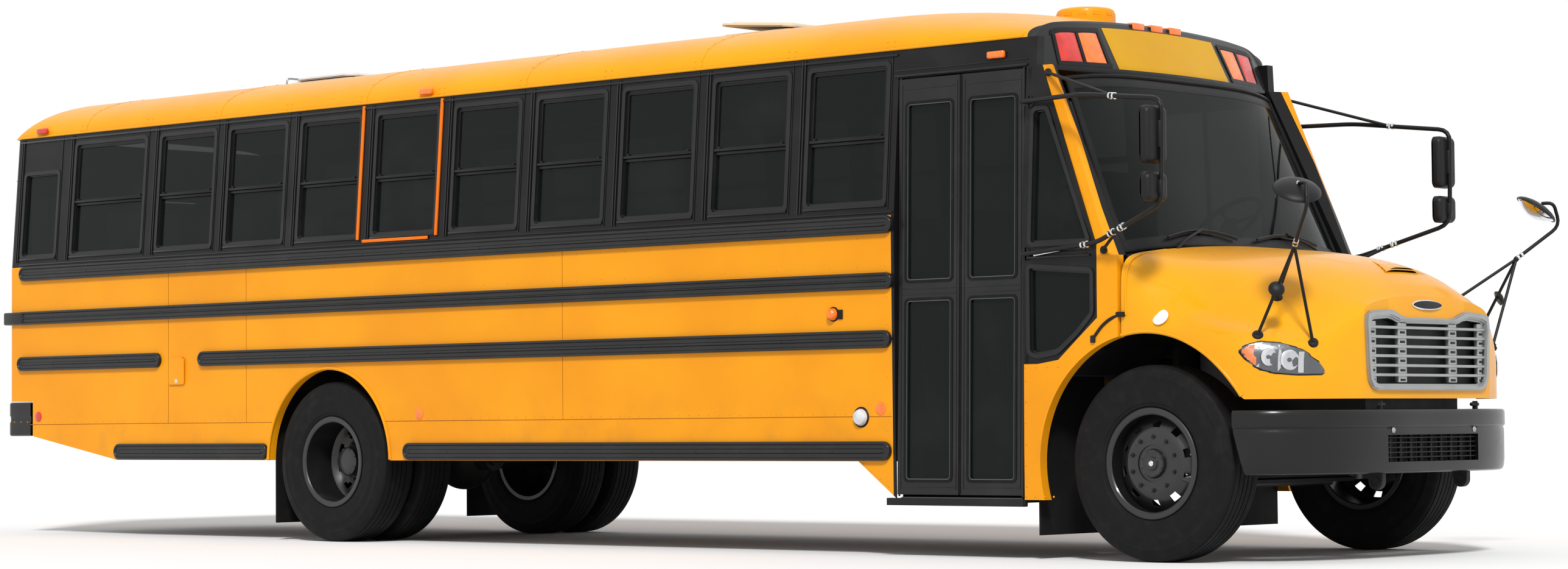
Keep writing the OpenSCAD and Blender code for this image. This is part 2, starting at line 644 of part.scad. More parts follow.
module entrance_steps() color(black) {
  t = 20;
  y = [for (i = [0:3]) -half_w + i * step_d];
  z = [for (i = [0:3]) step_1 + i * riser];
  along_x(-door_rear + seat_gap, door_front - seat_gap) polygon([
    [y[0], z[0]], [y[1], z[0]], [y[1], z[1]], [y[2], z[1]], [y[2], z[2]], [y[3] - t, z[2]],
    [y[3] - t, floor_top], [y[3] - seat_gap, floor_top], [y[3] - seat_gap, z[2] - t], [y[2] + t, z[2] - t],
    [y[2] + t, z[1] - t], [y[1] + t, z[1] - t], [y[1] + t, z[0] - t], [y[0], z[0] - t]]);
  // side plates of the stepwell
  for (x = [-door_rear + seat_gap, door_front - seat_gap - 8])
    along_x(x, x + 8) polygon([[y[0] + wall_t, z[0]], [y[1], z[0]], [y[2], z[1]], [y[3], z[2]],
      [y[3] - seat_gap, floor_low - seat_gap], [y[0] + wall_t, floor_low - seat_gap]]);
  // rubber lip along the lowest edge
  block([-door_rear - 64, door_front - 7], [-half_w - 6, -half_w + 34], [289, step_1 - seat_gap]);
}

// ---------- rails, lamps, mirrors ----------
rail_out = 30;
// Rub rail with half-round ends between x0 and x1
module rub_rail(x0, x1, z0, z1) along_y(half_w, half_w + rail_out) {
  r = (z1 - z0) / 2;
  translate([x0 + r, z0]) square([x1 - x0 - 2 * r, 2 * r]);
  for (x = [x0 + r, x1 - r]) translate([x, z0 + r]) circle(r = r);
}
module rub_rails() color(black) {
  left_and_right() {
    rub_rail(rear_x + 152, -door_rear - 2, 1822, 1925);
    rub_rail(rear_x + 130, -door_rear - 2, 1507, 1602);
    rub_rail(rear_x + 130, fuel_x - 176, 1174, 1276);
    rub_rail(fuel_x + 242, -door_rear - 19, 1174, 1276);
    rub_rail(rear_x + 1268, -wheelbase - rear_arch_r - 4, 538, 648);
    rub_rail(-wheelbase + rear_arch_r + 146, -door_rear - 27, 538, 648);
    // the upper rail carries on round the back to the rear door
    block([rear_x - rear_bumper_out, rear_x + 200], [half_w, half_w + rail_out], [1507, 1602]);
    block([rear_x - rear_bumper_out, rear_x], [rear_door_half + 60, half_w + 1], [1507, 1602]);
  }
}

module side_disc(x, z, r, t) left_and_right() y_disc(x, half_w + t / 2, z, r, t);
module rear_lamp(y, z, r) translate([rear_x - 26, y, z]) rotate([0, 90, 0]) cylinder(r = r, h = 26);
module body_lamps() color([0.8, 0.15, 0.08]) {
  side_disc(rear_x + 363, 844, 48, 8);
  side_disc(-5686, 834, 48, 8);
  side_disc(-door_rear - 105, 833, 48, 8);
  side_disc(-door_rear - 455, 1375, 42, 30);
  mirror([0, 1, 0]) y_disc(-door_rear - 253, half_w + 20, 785, 58, 40);
  left_and_right() for (x = [rear_x + 340, -5668, -1005])
    block([x - 62, x + 62], [edge_y + seat_gap, edge_y + 28], [roof_edge + 2, roof_edge + 60]);
  left_and_right() {
    rear_lamp(rear_door_half + 330, 1230, 90);
    rear_lamp(rear_door_half + 540, 1230, 90);
    rear_lamp(rear_door_half + 540, 1420, 60);
    rear_lamp(rear_door_half + 110, 2640, 90);
    rear_lamp(rear_door_half + 330, 2640, 90);
  }
  // flashing warning lamps and markers on the cap
  difference() {
    intersection() {
      translate([lamp_out, 0, lamp_out]) tube(cap_rows);
      union() {
        left_and_right() for (y = [[622, 770], [800, 945]])
          block([roof_front + 20, -500], y, [2735, 2925]);
        for (y = [-180, 0, 180]) block([roof_front + 8, -766], [y - 60, y + 60], [2980, 3030]);
      }
    }
    translate([seat_gap, 0, seat_gap]) tube(cap_rows);
  }
}
lamp_out = 13;                // how far the lamps stand proud of the cap

module side_mirrors() color(black) left_and_right() {
  y0 = half_w + 15;
  low_bend = [292, 1440, 1883];
  bent_bar([[-768, y0, 2500], [-300, 1345, 2500], [300, 1440, 2432], low_bend], 13);
  bent_bar([low_bend, [-240, 1290, 1705], [-768, y0, 1666]], 13);
  translate(low_bend) sphere(r = 16);
  block([-790, -745], [wall_y(2470) + seat_gap, y0 + 14], [2470, 2530]);
  block([-790, -745], [half_w + seat_gap, y0 + 14], [1635, 1697]);
  // braces to the header and the cowl
  bar([-60, 1378, 2473], [-645, wall_y(2655) + 6, 2655], 9);
  y_disc(-645, wall_y(2640) + 6, 2655, 20, 11);
  bar([-60, 1342, 1766], [-242, half_w + 8, 1668], 9);
  y_disc(-242, half_w + 6, 1668, 20, 11);
  along_x(225, 305) polygon(round_rect([1352, 2095], [1542, 2396], 34));
  along_x(225, 305) polygon(round_rect([1352, 1892], [1542, 2048], 34));
}

// ---------- inside ----------
module dashboard() color(black) {
  along_y(-1130, 1130) polygon([[-330.3, 1250], [-330.3, 1600], [-420, 1660], [-560, 1640], [-640, 1560],
    [-650, 1400], [-500, 1250]]);
  bar(wheel_c - 400 * column_dir, wheel_c - 20 * column_dir, 36);
}

column_y = 600;
column_lean = 38;             // lean of the steering column from upright
column_dir = [-sin(column_lean), 0, cos(column_lean)];
wheel_c = [-690, column_y, 1900];
module steering_wheel() color(black) translate(wheel_c) rotate([0, -column_lean, 0]) {
  rotate_extrude() translate([220, 0]) circle(r = 15, $fn = 24);
  translate([0, 0, -20 + seat_gap]) cylinder(r = 55, h = 34);
  for (a = [0, 120, 240]) rotate([0, 0, a]) bar([30, 0, 0], [215, 0, 0], 11);
}

seat_x = -1280;
module driver_seat() color(black) {
  block([seat_x - 150, seat_x + 190], [column_y - 150, column_y + 150], [floor_top, 1420]);
  block([seat_x - 240, seat_x + 260], [column_y - 245, column_y + 245], [1420, 1540]);
  along_y(column_y - 235, column_y + 235) polygon([[seat_x - 240, 1520], [seat_x - 110, 1540],
    [seat_x - 200, 2260], [seat_x - 300, 2260]]);
}

seat_pitch = 712;
seat_rows = floor((-rear_x - 2250) / seat_pitch);
seat_w = 980;
module passenger_seats() color([0.16, 0.17, 0.18]) for (s = [-1, 1], i = [0:seat_rows - 1])
  let (x = -2380 - i * seat_pitch, y = s * (inner_y - 12 - seat_w / 2)) {
    block([x - 60, x + 380], [y - seat_w / 2, y + seat_w / 2], [1420, 1520]);
    along_y(y - seat_w / 2, y + seat_w / 2) polygon([[x - 60, 1420], [x + 20, 1420], [x - 60, 2060],
      [x - 130, 2060], [x - 130, 2000]]);
    if (abs(x + 160 + wheelbase) > house_half + 230)
      for (a = [x - 40, x + 300]) block([a, a + 40], [y - s * 420 - 20, y - s * 420 + 20], [floor_top, 1421]);
    if (abs(x + 160 + wheelbase) > house_half + 230)
      for (a = [x - 40, x + 300]) block([a, a + 40], [y + s * 300 - 20, y + s * 300 + 20], [floor_top, 1421]);
    if (abs(x + 160 + wheelbase) <= house_half + 230) {
      block([x - 40, x + 340], [y - s * 445 - 15, y - s * 445 + 15], [floor_top, 1421]);
    }
  }

// ---------- things on the roof ----------
vent_x = -1257;
guard_x = -wheelbase - 1746;
module roof_fittings() color([0.85, 0.83, 0.76]) {
  for (x = [front_hatch_x, rear_hatch_x]) difference() {
    union() {
      block([x - hatch_w / 2 + hatch_frame + seat_gap, x + hatch_w / 2 - hatch_frame - seat_gap],
        [-hatch_w / 2 + hatch_frame + seat_gap, hatch_w / 2 - hatch_frame - seat_gap],
        [roof_top - roof_skin, roof_top + frame_up]);
      block([x - hatch_w / 2, x + hatch_w / 2], [-hatch_w / 2, hatch_w / 2],
        [roof_top + seat_gap, roof_top + frame_up]);
    }
    block([x - hatch_w / 2 + 70, x + hatch_w / 2 - 70], [-hatch_w / 2 + 70, hatch_w / 2 - 70],
      [roof_edge, roof_top + 100]);
  }
  difference() {
    translate([vent_x, 0, 3020]) cylinder(r = 175, h = 138);
    translate([0, 0, seat_gap]) hull() skin(roof_rows(0), roof_rows(roof_skin), true);
  }
  translate([guard_x, 0, roof_top + seat_gap]) cylinder(r = 55, h = 70);
  bent_bar([[guard_x, -100, roof_top + 8.4], [guard_x, -100, roof_top + 90], [guard_x, 100, roof_top + 90],
    [guard_x, 100, roof_top + 8.4]], 8);
  block([guard_x - 20, guard_x + 20], [-110, 110], [roof_top + seat_gap, roof_top + 9]);
}

frame_up = 24;
lid_t = 30;
lid_axis_z = roof_top + frame_up + 8 + seat_gap;
module hatch_lid(x, lift) {
  ax = x + hatch_w / 2 - 10;
  translate([ax, 0, lid_axis_z]) rotate([0, lift, 0]) {
    along_x(-hatch_w + 4, 6) polygon(round_rect([-hatch_w / 2, -2], [hatch_w / 2, lid_t - 2], 12));
    for (y = [-200, 200]) y_disc(0, y, 0, 8, 90);
  }
}
module front_hatch_lid() color([0.9, 0.87, 0.78]) hatch_lid(front_hatch_x, hatch_lift);
module rear_hatch_lid() color([0.9, 0.9, 0.88]) hatch_lid(rear_hatch_x, 0);

// ---------- stop arm and fuel flap ----------
stop_axis = [-door_rear - 377, half_w + 49];
stop_half = 225;
module stop_arm_bracket() color(black)
  block([stop_axis[0] - 30, stop_axis[0] + 30], [half_w, stop_axis[1] - 10 - seat_gap], [1612, 1812]);
module stop_arm() color([0.75, 0.08, 0.08]) {
  along_y(stop_axis[1] - 6, stop_axis[1] + 6) translate([stop_axis[0] - 45 - stop_half, 1712])
    rotate(22.5) circle(r = stop_half / cos(22.5), $fn = 8);
  for (z = [1650, 1740]) {
    block([stop_axis[0] - 60, stop_axis[0]], [stop_axis[1] - 6, stop_axis[1] + 6], [z, z + 40]);
    translate([stop_axis[0], stop_axis[1], z - 5]) cylinder(r = 10, h = 50);
  }
}

module fuel_door() color(yellow) {
  block([fuel_x - fuel_half, fuel_x + fuel_half], [-half_w - 13, -half_w - move_gap], [fuel_z - 91, fuel_z + 91]);
  block([fuel_x - 60, fuel_x + 60], [-half_w - 13, -half_w - move_gap], [fuel_z + 90, fuel_z + 96]);
  translate([fuel_x - 60, -half_w - 5 - seat_gap, fuel_z + 96]) rotate([0, 90, 0]) cylinder(r = 5, h = 120);
}

// ---------- doors ----------
leaf_gap = 10;
leaf_low = step_1 + 20;
leaf_h = (door_top - leaf_gap - leaf_low) / cos(leaf_lean);
leaf_mid = (-door_rear + door_front) / 2;
leaf_pin = [18, 8];           // hinge pin from the jamb and from the leaf's outer face
pane_z = [[80, 1090], [1198, 2200]];
module door_plane() translate([0, -half_w, leaf_low]) rotate([-leaf_lean, 0, 0]) children();

// One entrance leaf between x0 and x1, hinged at x = pin_x
module entrance_leaf(x0, x1, pin_x) color(black) door_plane() {
  along_y(0, leaf_t) difference() {
    polygon([[x0, 0], [x1, 0], [x1, leaf_h], [x0, leaf_h]]);
    for (z = pane_z) polygon(round_rect([x0 + 58, z[0]], [x1 - 58, z[1]], 24));
  }
  translate([pin_x, leaf_pin[1], -leaf_gap + seat_gap]) cylinder(r = 6, h = leaf_gap);
  translate([pin_x, leaf_pin[1], leaf_h - 1]) cylinder(r = 6, h = leaf_gap + 1 - 2 * seat_gap);
}
module leaf_glass(x0, x1) color([0.1, 0.12, 0.12, 0.6]) door_plane() along_y(14, 14 + glass_t)
  for (z = pane_z) polygon(round_rect([x0 + 58 + seat_gap, z[0] + seat_gap],
    [x1 - 58 - seat_gap, z[1] - seat_gap], 24));
rear_leaf = [-door_rear + leaf_gap, leaf_mid - 5];
front_leaf = [leaf_mid + 5, door_front - leaf_gap];
module entrance_leaf_rear() entrance_leaf(rear_leaf[0], rear_leaf[1], -door_rear + leaf_pin[0]);
module entrance_leaf_front() entrance_leaf(front_leaf[0], front_leaf[1], door_front - leaf_pin[0]);
module entrance_glass_rear() leaf_glass(rear_leaf[0], rear_leaf[1]);
module entrance_glass_front() leaf_glass(front_leaf[0], front_leaf[1]);

rear_door_t = 45;
rear_door_y = rear_door_half - 10;
rear_panes = [[[-370, 1180], [370, 1640]], [[-370, 1840], [370, 2380]]];
module rear_door() color(yellow) {
  along_x(rear_x, rear_x + rear_door_t) difference() {
    polygon([[-rear_door_y, floor_top + 15], [rear_door_y, floor_top + 15],
      [rear_door_y, rear_door_top - 10], [-rear_door_y, rear_door_top - 10]]);
    for (p = rear_panes) polygon(round_rect(p[0], p[1], corner_r));
  }
  for (z = [1150, 1700, 2300]) {
    translate([rear_x - 13 - seat_gap, -rear_door_half, z]) cylinder(r = 13, h = 110);
    block([rear_x - 13 - seat_gap, rear_x + 1], [-rear_door_half, -rear_door_half + 60], [z, z + 110]);
  }
  block([rear_x - 25, rear_x + 1], [395, 420], [1680, 1800]);
}
module rear_door_glass() color([0.1, 0.12, 0.12, 0.6]) along_x(rear_x + 20, rear_x + 20 + glass_t)
  for (p = rear_panes) polygon(round_rect(p[0] + [seat_gap, seat_gap], p[1] - [seat_gap, seat_gap], corner_r));

// ---------- hood ----------
nose_x = 1000;
// Half sections of the hood from its lower edge to the centre line: [x, y, z] at each station
hood_net = [
  [[-148, 1203, 860], [-148, 1203, 1300], [-148, 1198, 1500], [-148, 1175, 1590], [-144, 1090, 1645],
    [-120, 850, 1678], [-100, 450, 1706], [-92, 0, 1718]],
  [[100, 1215, 860], [100, 1213, 1190], [100, 1190, 1295], [100, 1130, 1410], [100, 1050, 1530],
    [100, 850, 1620], [100, 450, 1680], [100, 0, 1700]],
  [[350, 1215, 860], [350, 1213, 1140], [350, 1175, 1245], [350, 1075, 1320], [350, 970, 1450],
    [350, 800, 1565], [350, 430, 1650], [350, 0, 1674]],
  [[600, 1182, 860], [600, 1180, 1090], [600, 1130, 1195], [600, 1020, 1255], [600, 900, 1385],
    [600, 720, 1505], [600, 400, 1600], [600, 0, 1630]],
  [[800, 1035, 860], [800, 1033, 1060], [800, 1000, 1150], [800, 925, 1205], [800, 810, 1310],
    [800, 660, 1425], [800, 380, 1535], [800, 0, 1568]],
  [[930, 835, 860], [930, 835, 1050], [930, 822, 1145], [930, 790, 1215], [930, 725, 1290],
    [930, 620, 1375], [930, 350, 1462], [930, 0, 1490]],
  [[nose_x, 640, 860], [nose_x, 650, 1000], [nose_x, 655, 1120], [nose_x, 652, 1220], [nose_x, 640, 1300],
    [nose_x, 560, 1358], [nose_x, 320, 1396], [nose_x, 0, 1404]]];

function hood_point(p, inset) = [p[0], sign(p[1]) * max(0, abs(p[1]) - inset),
  max(hood_low, p[2] - (p[2] > hood_low ? inset : 0))];
function hood_row(row, inset) = concat(
  [for (p = row) hood_point([p[0], -p[1], max(p[2], hood_low)], inset)],
  [for (i = [len(row) - 2:-1:0]) hood_point([row[i][0], row[i][1], max(row[i][2], hood_low)], inset)]);
function hood_rows(inset) = [for (row = hood_net) hood_row(row, inset)];

// Outline of a headlamp along its face, from its outer rear tip
lamp_outline = [[0, 1112], [40, 1146], [110, 1164], [220, 1154], [330, 1118], [420, 1050], [452, 1000],
  [440, 986], [300, 984], [170, 994], [90, 1018], [30, 1066]];
module lamp_prism() left_and_right() translate([610, 1205, 0]) rotate([0, 0, -48])
  along_y(-190, 90) polygon(lamp_outline);

grille_outer = [[-540, 903], [-585, 918], [-607, 960], [-628, 1290], [-610, 1318], [-380, 1333], [-330, 1320],
  [-250, 1290], [250, 1290], [330, 1320], [380, 1333], [610, 1318], [628, 1290], [607, 960], [585, 918],
  [540, 903]];
grille_inner = [[-520, 935], [-560, 965], [-582, 1275], [-380, 1288], [-300, 1262], [300, 1262], [380, 1288],
  [582, 1275], [560, 965], [520, 935]];
module hood() color(yellow) difference() {
  union() {
    skin(hood_rows(0), hood_rows(hood_skin));
    along_x(nose_x - hood_skin, nose_x) polygon([for (p = hood_row(hood_net[6], 0)) [p[1], p[2]]]);
    left_and_right() {
      block([nose_x - hood_skin, nose_x - 2], [rail_y - 34, rail_y + 40], [hinge_z, hood_low + 10]);
      y_disc(hinge_x, rail_y + 3, hinge_z, 18, 74);
    }
  }
  y_disc(0, 0, arch_z, front_arch_r, 3 * half_w, $fn = 180);
  along_x(nose_x - hood_skin - 1, nose_x + 1) polygon(grille_inner);
  lamp_prism();
  left_and_right() y_disc(hinge_x, rail_y, hinge_z, 10 + run_fit, 120);
}

module grille() color([0.6, 0.6, 0.6]) along_x(nose_x + seat_gap, nose_x + 24) difference() {
  polygon(grille_outer);
  difference() {
    polygon(grille_inner);
    for (i = [0:6]) translate([-600, 975 + i * 44]) square([1200, 14]);
    for (y = [-205, 205]) translate([y - 26, 900]) square([52, 400]);
  }
}

module headlamps() color([0.8, 0.82, 0.85]) intersection() {
  skin(hood_rows(2), hood_rows(hood_skin));
  lamp_prism();
}

mirror_r = 126;                // radius of the convex mirrors
module crossview_mirrors() color(black) difference() {
  left_and_right() {
    top = [903, 1126, 1646];
    for (f = [[640, 1095, 1178], [866, 905, 1136], [612, 862, 1388]]) bar(f, top, 9);
    translate(top) sphere(r = 14);
    bent_bar([top, [mirror_reach, 1291, 1833], [1035, 1250, 1950], [1000, 1219, 1935]], arm_r);
    translate([985, 1219, 1931]) rotate([0, 34, 39]) cylinder(r = mirror_r, h = 20);
  }
  skin(hood_rows(-seat_gap), hood_rows(hood_skin + 40));
}

// ---------- wheels and steering ----------
module wheel_spin(y) translate([0, y, axle_z]) rotate([-90, 0, 0]) rotate_extrude() children();

module tyre_outline() polygon(let (w = tyre_w / 2, r = tyre_r, f = rim_r) [
  [f, -w + 26], [f + 18, -w + 20], [f + 70, -w + 4], [f + 125, -w], [r - 70, -w + 3], [r - 26, -w + 13],
  [r - 8, -w + 24], [r, -w + 44], [r, w - 44], [r - 8, w - 24], [r - 26, w - 13], [r - 70, w - 3],
  [f + 125, w], [f + 70, w - 4], [f + 18, w - 20], [f, w - 26]]);

rim_half = tyre_w / 2 - 20 + seat_gap;
rim_out = rim_r - seat_gap;
rim_in = rim_r - 26;
lip_r = rim_r + 10;
// One side of a rim barrel with its flanges, centred on y
function barrel(y) = [[rim_in, y - rim_half - 12], [lip_r, y - rim_half - 12], [lip_r, y - rim_half],
  [rim_out, y - rim_half], [rim_out, y + rim_half], [lip_r, y + rim_half], [lip_r, y + rim_half + 12],
  [rim_in, y + rim_half + 12]];
module front_rim_outline() polygon(concat(barrel(0), [[rim_in, 44], [156, 100], [76, 100], [76, 130],
  [0, 130], [0, 107], [spindle_r + run_fit, 107], [spindle_r + run_fit, -58], [76, -58], [76, 84],
  [148, 84], [rim_in, 24]]));
module rear_rim_outline() polygon(concat(barrel(-dual_gap / 2), [[rim_in, -62], [184, -4], [184, 4],
  [rim_in, 62]], barrel(dual_gap / 2), [[rim_in, 86], [172, 22], [118, 22], [118, 180], [0, 180],
  [0, 158], [rear_spindle_r + run_fit, 158], [rear_spindle_r + run_fit, -200], [118, -200],
  [118, -22], [172, -22], [rim_in, -86]]));

module front_left_tyre() color(rubber) wheel_spin(front_track) tyre_outline();
module front_right_tyre() color(rubber) mirror([0, 1, 0]) wheel_spin(front_track) tyre_outline();
module front_left_rim() color(black) wheel_spin(front_track) front_rim_outline();
module front_right_rim() color(black) mirror([0, 1, 0]) wheel_spin(front_track) front_rim_outline();
module rear_pair() translate([-wheelbase, 0, 0]) {
  wheel_spin(dual_outer) tyre_outline();
  wheel_spin(dual_outer - dual_gap) tyre_outline();
}
module rear_left_tyres() color(rubber) rear_pair();
module rear_right_tyres() color(rubber) mirror([0, 1, 0]) rear_pair();
module rear_left_rims() color(black) translate([-wheelbase, 0, 0]) wheel_spin(dual_mid) rear_rim_outline();
module rear_right_rims() color(black) mirror([0, 1, 0]) rear_left_rims();

arm_x = -185;                 // tie rod pins behind the kingpins
arm_z = [412, 440];
rod_z = 390;
tie_pin_r = 9;
module knuckle() difference() {
  union() {
    translate([0, kingpin_y, boss_low - 42]) cylinder(r = kingpin_r, h = boss_high - boss_low + 84);
    for (z = [boss_low - 40, boss_high + 2]) {
      translate([0, kingpin_y, z]) cylinder(r = boss_r, h = 38);
      block([-boss_r, boss_r], [kingpin_y, kingpin_y + 75], [z, z + 38]);
    }
    block([-boss_r, boss_r], [kingpin_y + 52, kingpin_y + 75], [boss_low - 40, boss_high + 40]);
    y_disc(0, (kingpin_y + 60 + front_track + 104) / 2, axle_z, spindle_r, front_track + 44 - kingpin_y);
    block([arm_x, -30], [kingpin_y - 16, kingpin_y + 16], arm_z);
    translate([arm_x, kingpin_y, arm_z[0]]) cylinder(r = 20, h = arm_z[1] - arm_z[0]);
  }
  translate([arm_x, kingpin_y, arm_z[0] - 1]) cylinder(r = tie_pin_r + run_fit, h = 40);
}
module left_knuckle() color(steel) knuckle();
module right_knuckle() color(steel) mirror([0, 1, 0]) knuckle();

module tie_rod() color(steel) {
  y_disc(arm_x, 0, rod_z, 14, 2 * kingpin_y);
  left_and_right() {
    translate([arm_x, kingpin_y, rod_z]) sphere(r = 16);
    translate([arm_x, kingpin_y, rod_z]) cylinder(r = tie_pin_r, h = arm_z[1] - rod_z);
  }
}

// ---------- draw ----------
bus_frame() frame_rails();
bus_frame() engine();
bus_frame() radiator();
bus_frame() front_axle();
bus_frame() rear_axle();
bus_frame() leaf_springs();
bus_frame() drive_shaft();
bus_frame() exhaust();
bus_frame() fuel_tank();
bus_frame() front_bumper();
bus_frame() rear_bumper();
bus_frame() mud_flaps();
bus_frame() floor();
bus_frame() entrance_steps();
bus_frame() right_wall();
bus_frame() left_wall();
bus_frame() rear_wall();
bus_frame() roof();
bus_frame() front_cap();
bus_frame() windshield_frame();
bus_frame() cowl();
bus_frame() body_glass();
bus_frame() rub_rails();
bus_frame() body_lamps();
bus_frame() side_mirrors();
bus_frame() dashboard();
bus_frame() driver_seat();
bus_frame() passenger_seats();
bus_frame() roof_fittings();
bus_frame() stop_arm_bracket();
bus_frame() hood();
bus_frame() grille();
bus_frame() headlamps();
bus_frame() crossview_mirrors();
bus_frame() left_knuckle();
bus_frame() right_knuckle();
bus_frame() tie_rod();
bus_frame() front_left_tyre();
bus_frame() front_left_rim();
bus_frame() front_right_tyre();
bus_frame() front_right_rim();
bus_frame() rear_left_tyres();
bus_frame() rear_left_rims();
bus_frame() rear_right_tyres();
bus_frame() rear_right_rims();
bus_frame() entrance_leaf_rear();
bus_frame() entrance_leaf_front();
bus_frame() entrance_glass_rear();
bus_frame() entrance_glass_front();
bus_frame() rear_door();
bus_frame() rear_door_glass();
bus_frame() front_hatch_lid();
bus_frame() rear_hatch_lid();
bus_frame() stop_arm();
bus_frame() steering_wheel();
bus_frame() fuel_door();
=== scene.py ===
"""Looks of a long-nosed yellow school bus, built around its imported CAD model."""

import math

import bmesh
import bpy
from mathutils import Matrix, Vector


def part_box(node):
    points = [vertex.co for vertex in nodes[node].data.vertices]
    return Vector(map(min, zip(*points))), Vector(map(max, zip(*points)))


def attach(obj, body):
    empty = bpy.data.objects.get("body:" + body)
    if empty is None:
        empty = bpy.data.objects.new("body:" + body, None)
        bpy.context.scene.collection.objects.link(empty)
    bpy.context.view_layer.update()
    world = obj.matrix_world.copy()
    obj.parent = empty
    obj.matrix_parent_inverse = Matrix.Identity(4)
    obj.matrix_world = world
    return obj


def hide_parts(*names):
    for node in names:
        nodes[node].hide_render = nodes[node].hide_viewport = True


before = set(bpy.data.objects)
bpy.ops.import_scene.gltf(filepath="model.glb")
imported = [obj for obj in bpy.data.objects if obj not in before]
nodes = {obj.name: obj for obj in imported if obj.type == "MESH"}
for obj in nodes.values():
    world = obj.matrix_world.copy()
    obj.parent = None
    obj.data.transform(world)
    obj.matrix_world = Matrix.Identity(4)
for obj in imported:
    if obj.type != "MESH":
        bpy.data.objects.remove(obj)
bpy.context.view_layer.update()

# The front axle is the origin of all sizes below, which are in millimetres.
low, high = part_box("front_left_tyre")
AXLE = (low.x + high.x) / 2
TAU = math.tau


def at(x, y, z):
    """A point given from the front axle in millimetres, in the row frame in metres."""
    return Vector((AXLE + x / 1000, y / 1000, z / 1000))


# ---------- camera ----------
camera = bpy.data.objects.new("camera", bpy.data.cameras.new("camera"))
bpy.context.scene.collection.objects.link(camera)
bpy.context.scene.camera = camera
camera.data.lens = 78.69
camera.data.sensor_width = 36
camera.data.clip_end = 200
yaw, pitch, roll = 2.30036697, math.radians(2.306), math.radians(-0.465)
ahead = Vector((math.cos(yaw) * math.cos(pitch), math.sin(yaw) * math.cos(pitch), math.sin(pitch)))
side = ahead.cross(Vector((0, 0, 1))).normalized()
up = side.cross(ahead)
right = side * math.cos(roll) + up * math.sin(roll)
upright = up * math.cos(roll) - side * math.sin(roll)
turn = Matrix((right, upright, -ahead)).transposed().to_4x4()
camera.matrix_world = Matrix.Translation((15.2198, -16.0362, 0.7579)) @ turn


bpy.context.scene.view_settings.view_transform = "Standard"


# ---------- shader writing ----------
class Value:
    """A socket of a material, with arithmetic that adds Math nodes."""

    def __init__(self, tree, socket):
        self.tree, self.socket = tree, socket

    def math(self, operation, other=0.0, swap=False, third=None):
        pair = (other, self) if swap else (self, other)
        extra = {} if third is None else {2: third}
        return self.tree.node("Math", {"operation": operation}, {0: pair[0], 1: pair[1], **extra})

    def __add__(self, other): return self.math("ADD", other)
    def __radd__(self, other): return self.math("ADD", other)
    def __sub__(self, other): return self.math("SUBTRACT", other)
    def __rsub__(self, other): return self.math("SUBTRACT", other, True)
    def __mul__(self, other): return self.math("MULTIPLY", other)
    def __rmul__(self, other): return self.math("MULTIPLY", other)
    def __truediv__(self, other): return self.math("DIVIDE", other)
    def __gt__(self, other): return self.math("GREATER_THAN", other)
    def __lt__(self, other): return self.math("LESS_THAN", other)

    def step(self, start, end):
        """0 before start, 1 after end, smooth between them."""
        return self.tree.node("MapRange", {"interpolation_type": "SMOOTHSTEP"},
                              {"Value": self, "From Min": start, "From Max": end})


class Shader:
    """One material's tree. node() makes any node from its type, settings and socket values."""

    def __init__(self, name):
        self.material = bpy.data.materials.new(name)
        self.material.use_nodes = True
        self.tree = self.material.node_tree
        self.surface = self.tree.nodes["Principled BSDF"]

    def node(self, kind, settings=None, sockets=None, out=0):
        made = self.tree.nodes.new("ShaderNode" + kind)
        for key, value in (settings or {}).items():
            if key == "stops":
                ramp = made.color_ramp
                ramp.elements.remove(ramp.elements[1])
                ramp.elements[0].position = value[0][0]
                for place, colour in value[1:]:
                    ramp.elements.new(place)
                for element, (place, colour) in zip(ramp.elements, value):
                    element.color = (*colour, 1)
            elif key == "ramp":
                made.color_ramp.interpolation = value
            else:
                setattr(made, key, value)
        for key, value in (sockets or {}).items():
            self.put(made.inputs[key], value)
        return Value(self, made.outputs[out])

    def put(self, socket, value):
        if isinstance(value, Value):
            self.tree.links.new(value.socket, socket)
        elif socket.type == "RGBA" and len(value) == 3:
            socket.default_value = (*value, 1)
        else:
            socket.default_value = value

    def set(self, **values):
        for key, value in values.items():
            self.put(self.surface.inputs[key.replace("_", " ")], value)
        return self

    def place(self):
        return self.node("TexCoord", out=3)

    def axes(self):
        split = self.node("SeparateXYZ", None, {0: self.place()})
        outs = split.socket.node.outputs
        return [Value(self, outs[i]) for i in range(3)]

    def noise(self, scale, detail=3.0, rough=0.5, stretch=None):
        place = self.place()
        if stretch:
            place = self.node("Mapping", None, {"Vector": place, "Scale": stretch})
        return self.node("TexNoise", None, {"Vector": place, "Scale": scale, "Detail": detail,
                                            "Roughness": rough})

    def mix(self, factor, first, second):
        return self.node("Mix", {"data_type": "RGBA"}, {0: factor, 6: first, 7: second}, out=2)

    def bump(self, height, strength, distance=0.001):
        return self.node("Bump", None, {"Height": height, "Strength": strength, "Distance": distance})


def rgb(r, g, b):
    """An sRGB colour from 0 to 255, as linear light."""
    return tuple(c / 12.92 if c <= 0.04045 else ((c + 0.055) / 1.055) ** 2.4 for c in (r / 255, g / 255,
            b / 255))


YELLOW, DEEP = rgb(237, 156, 13), rgb(229, 145, 10)
PALE = rgb(232, 164, 8)
BLACK = rgb(19, 19, 20)
BAND_Z = 1.925                # metres: the foot of the black band round the windows


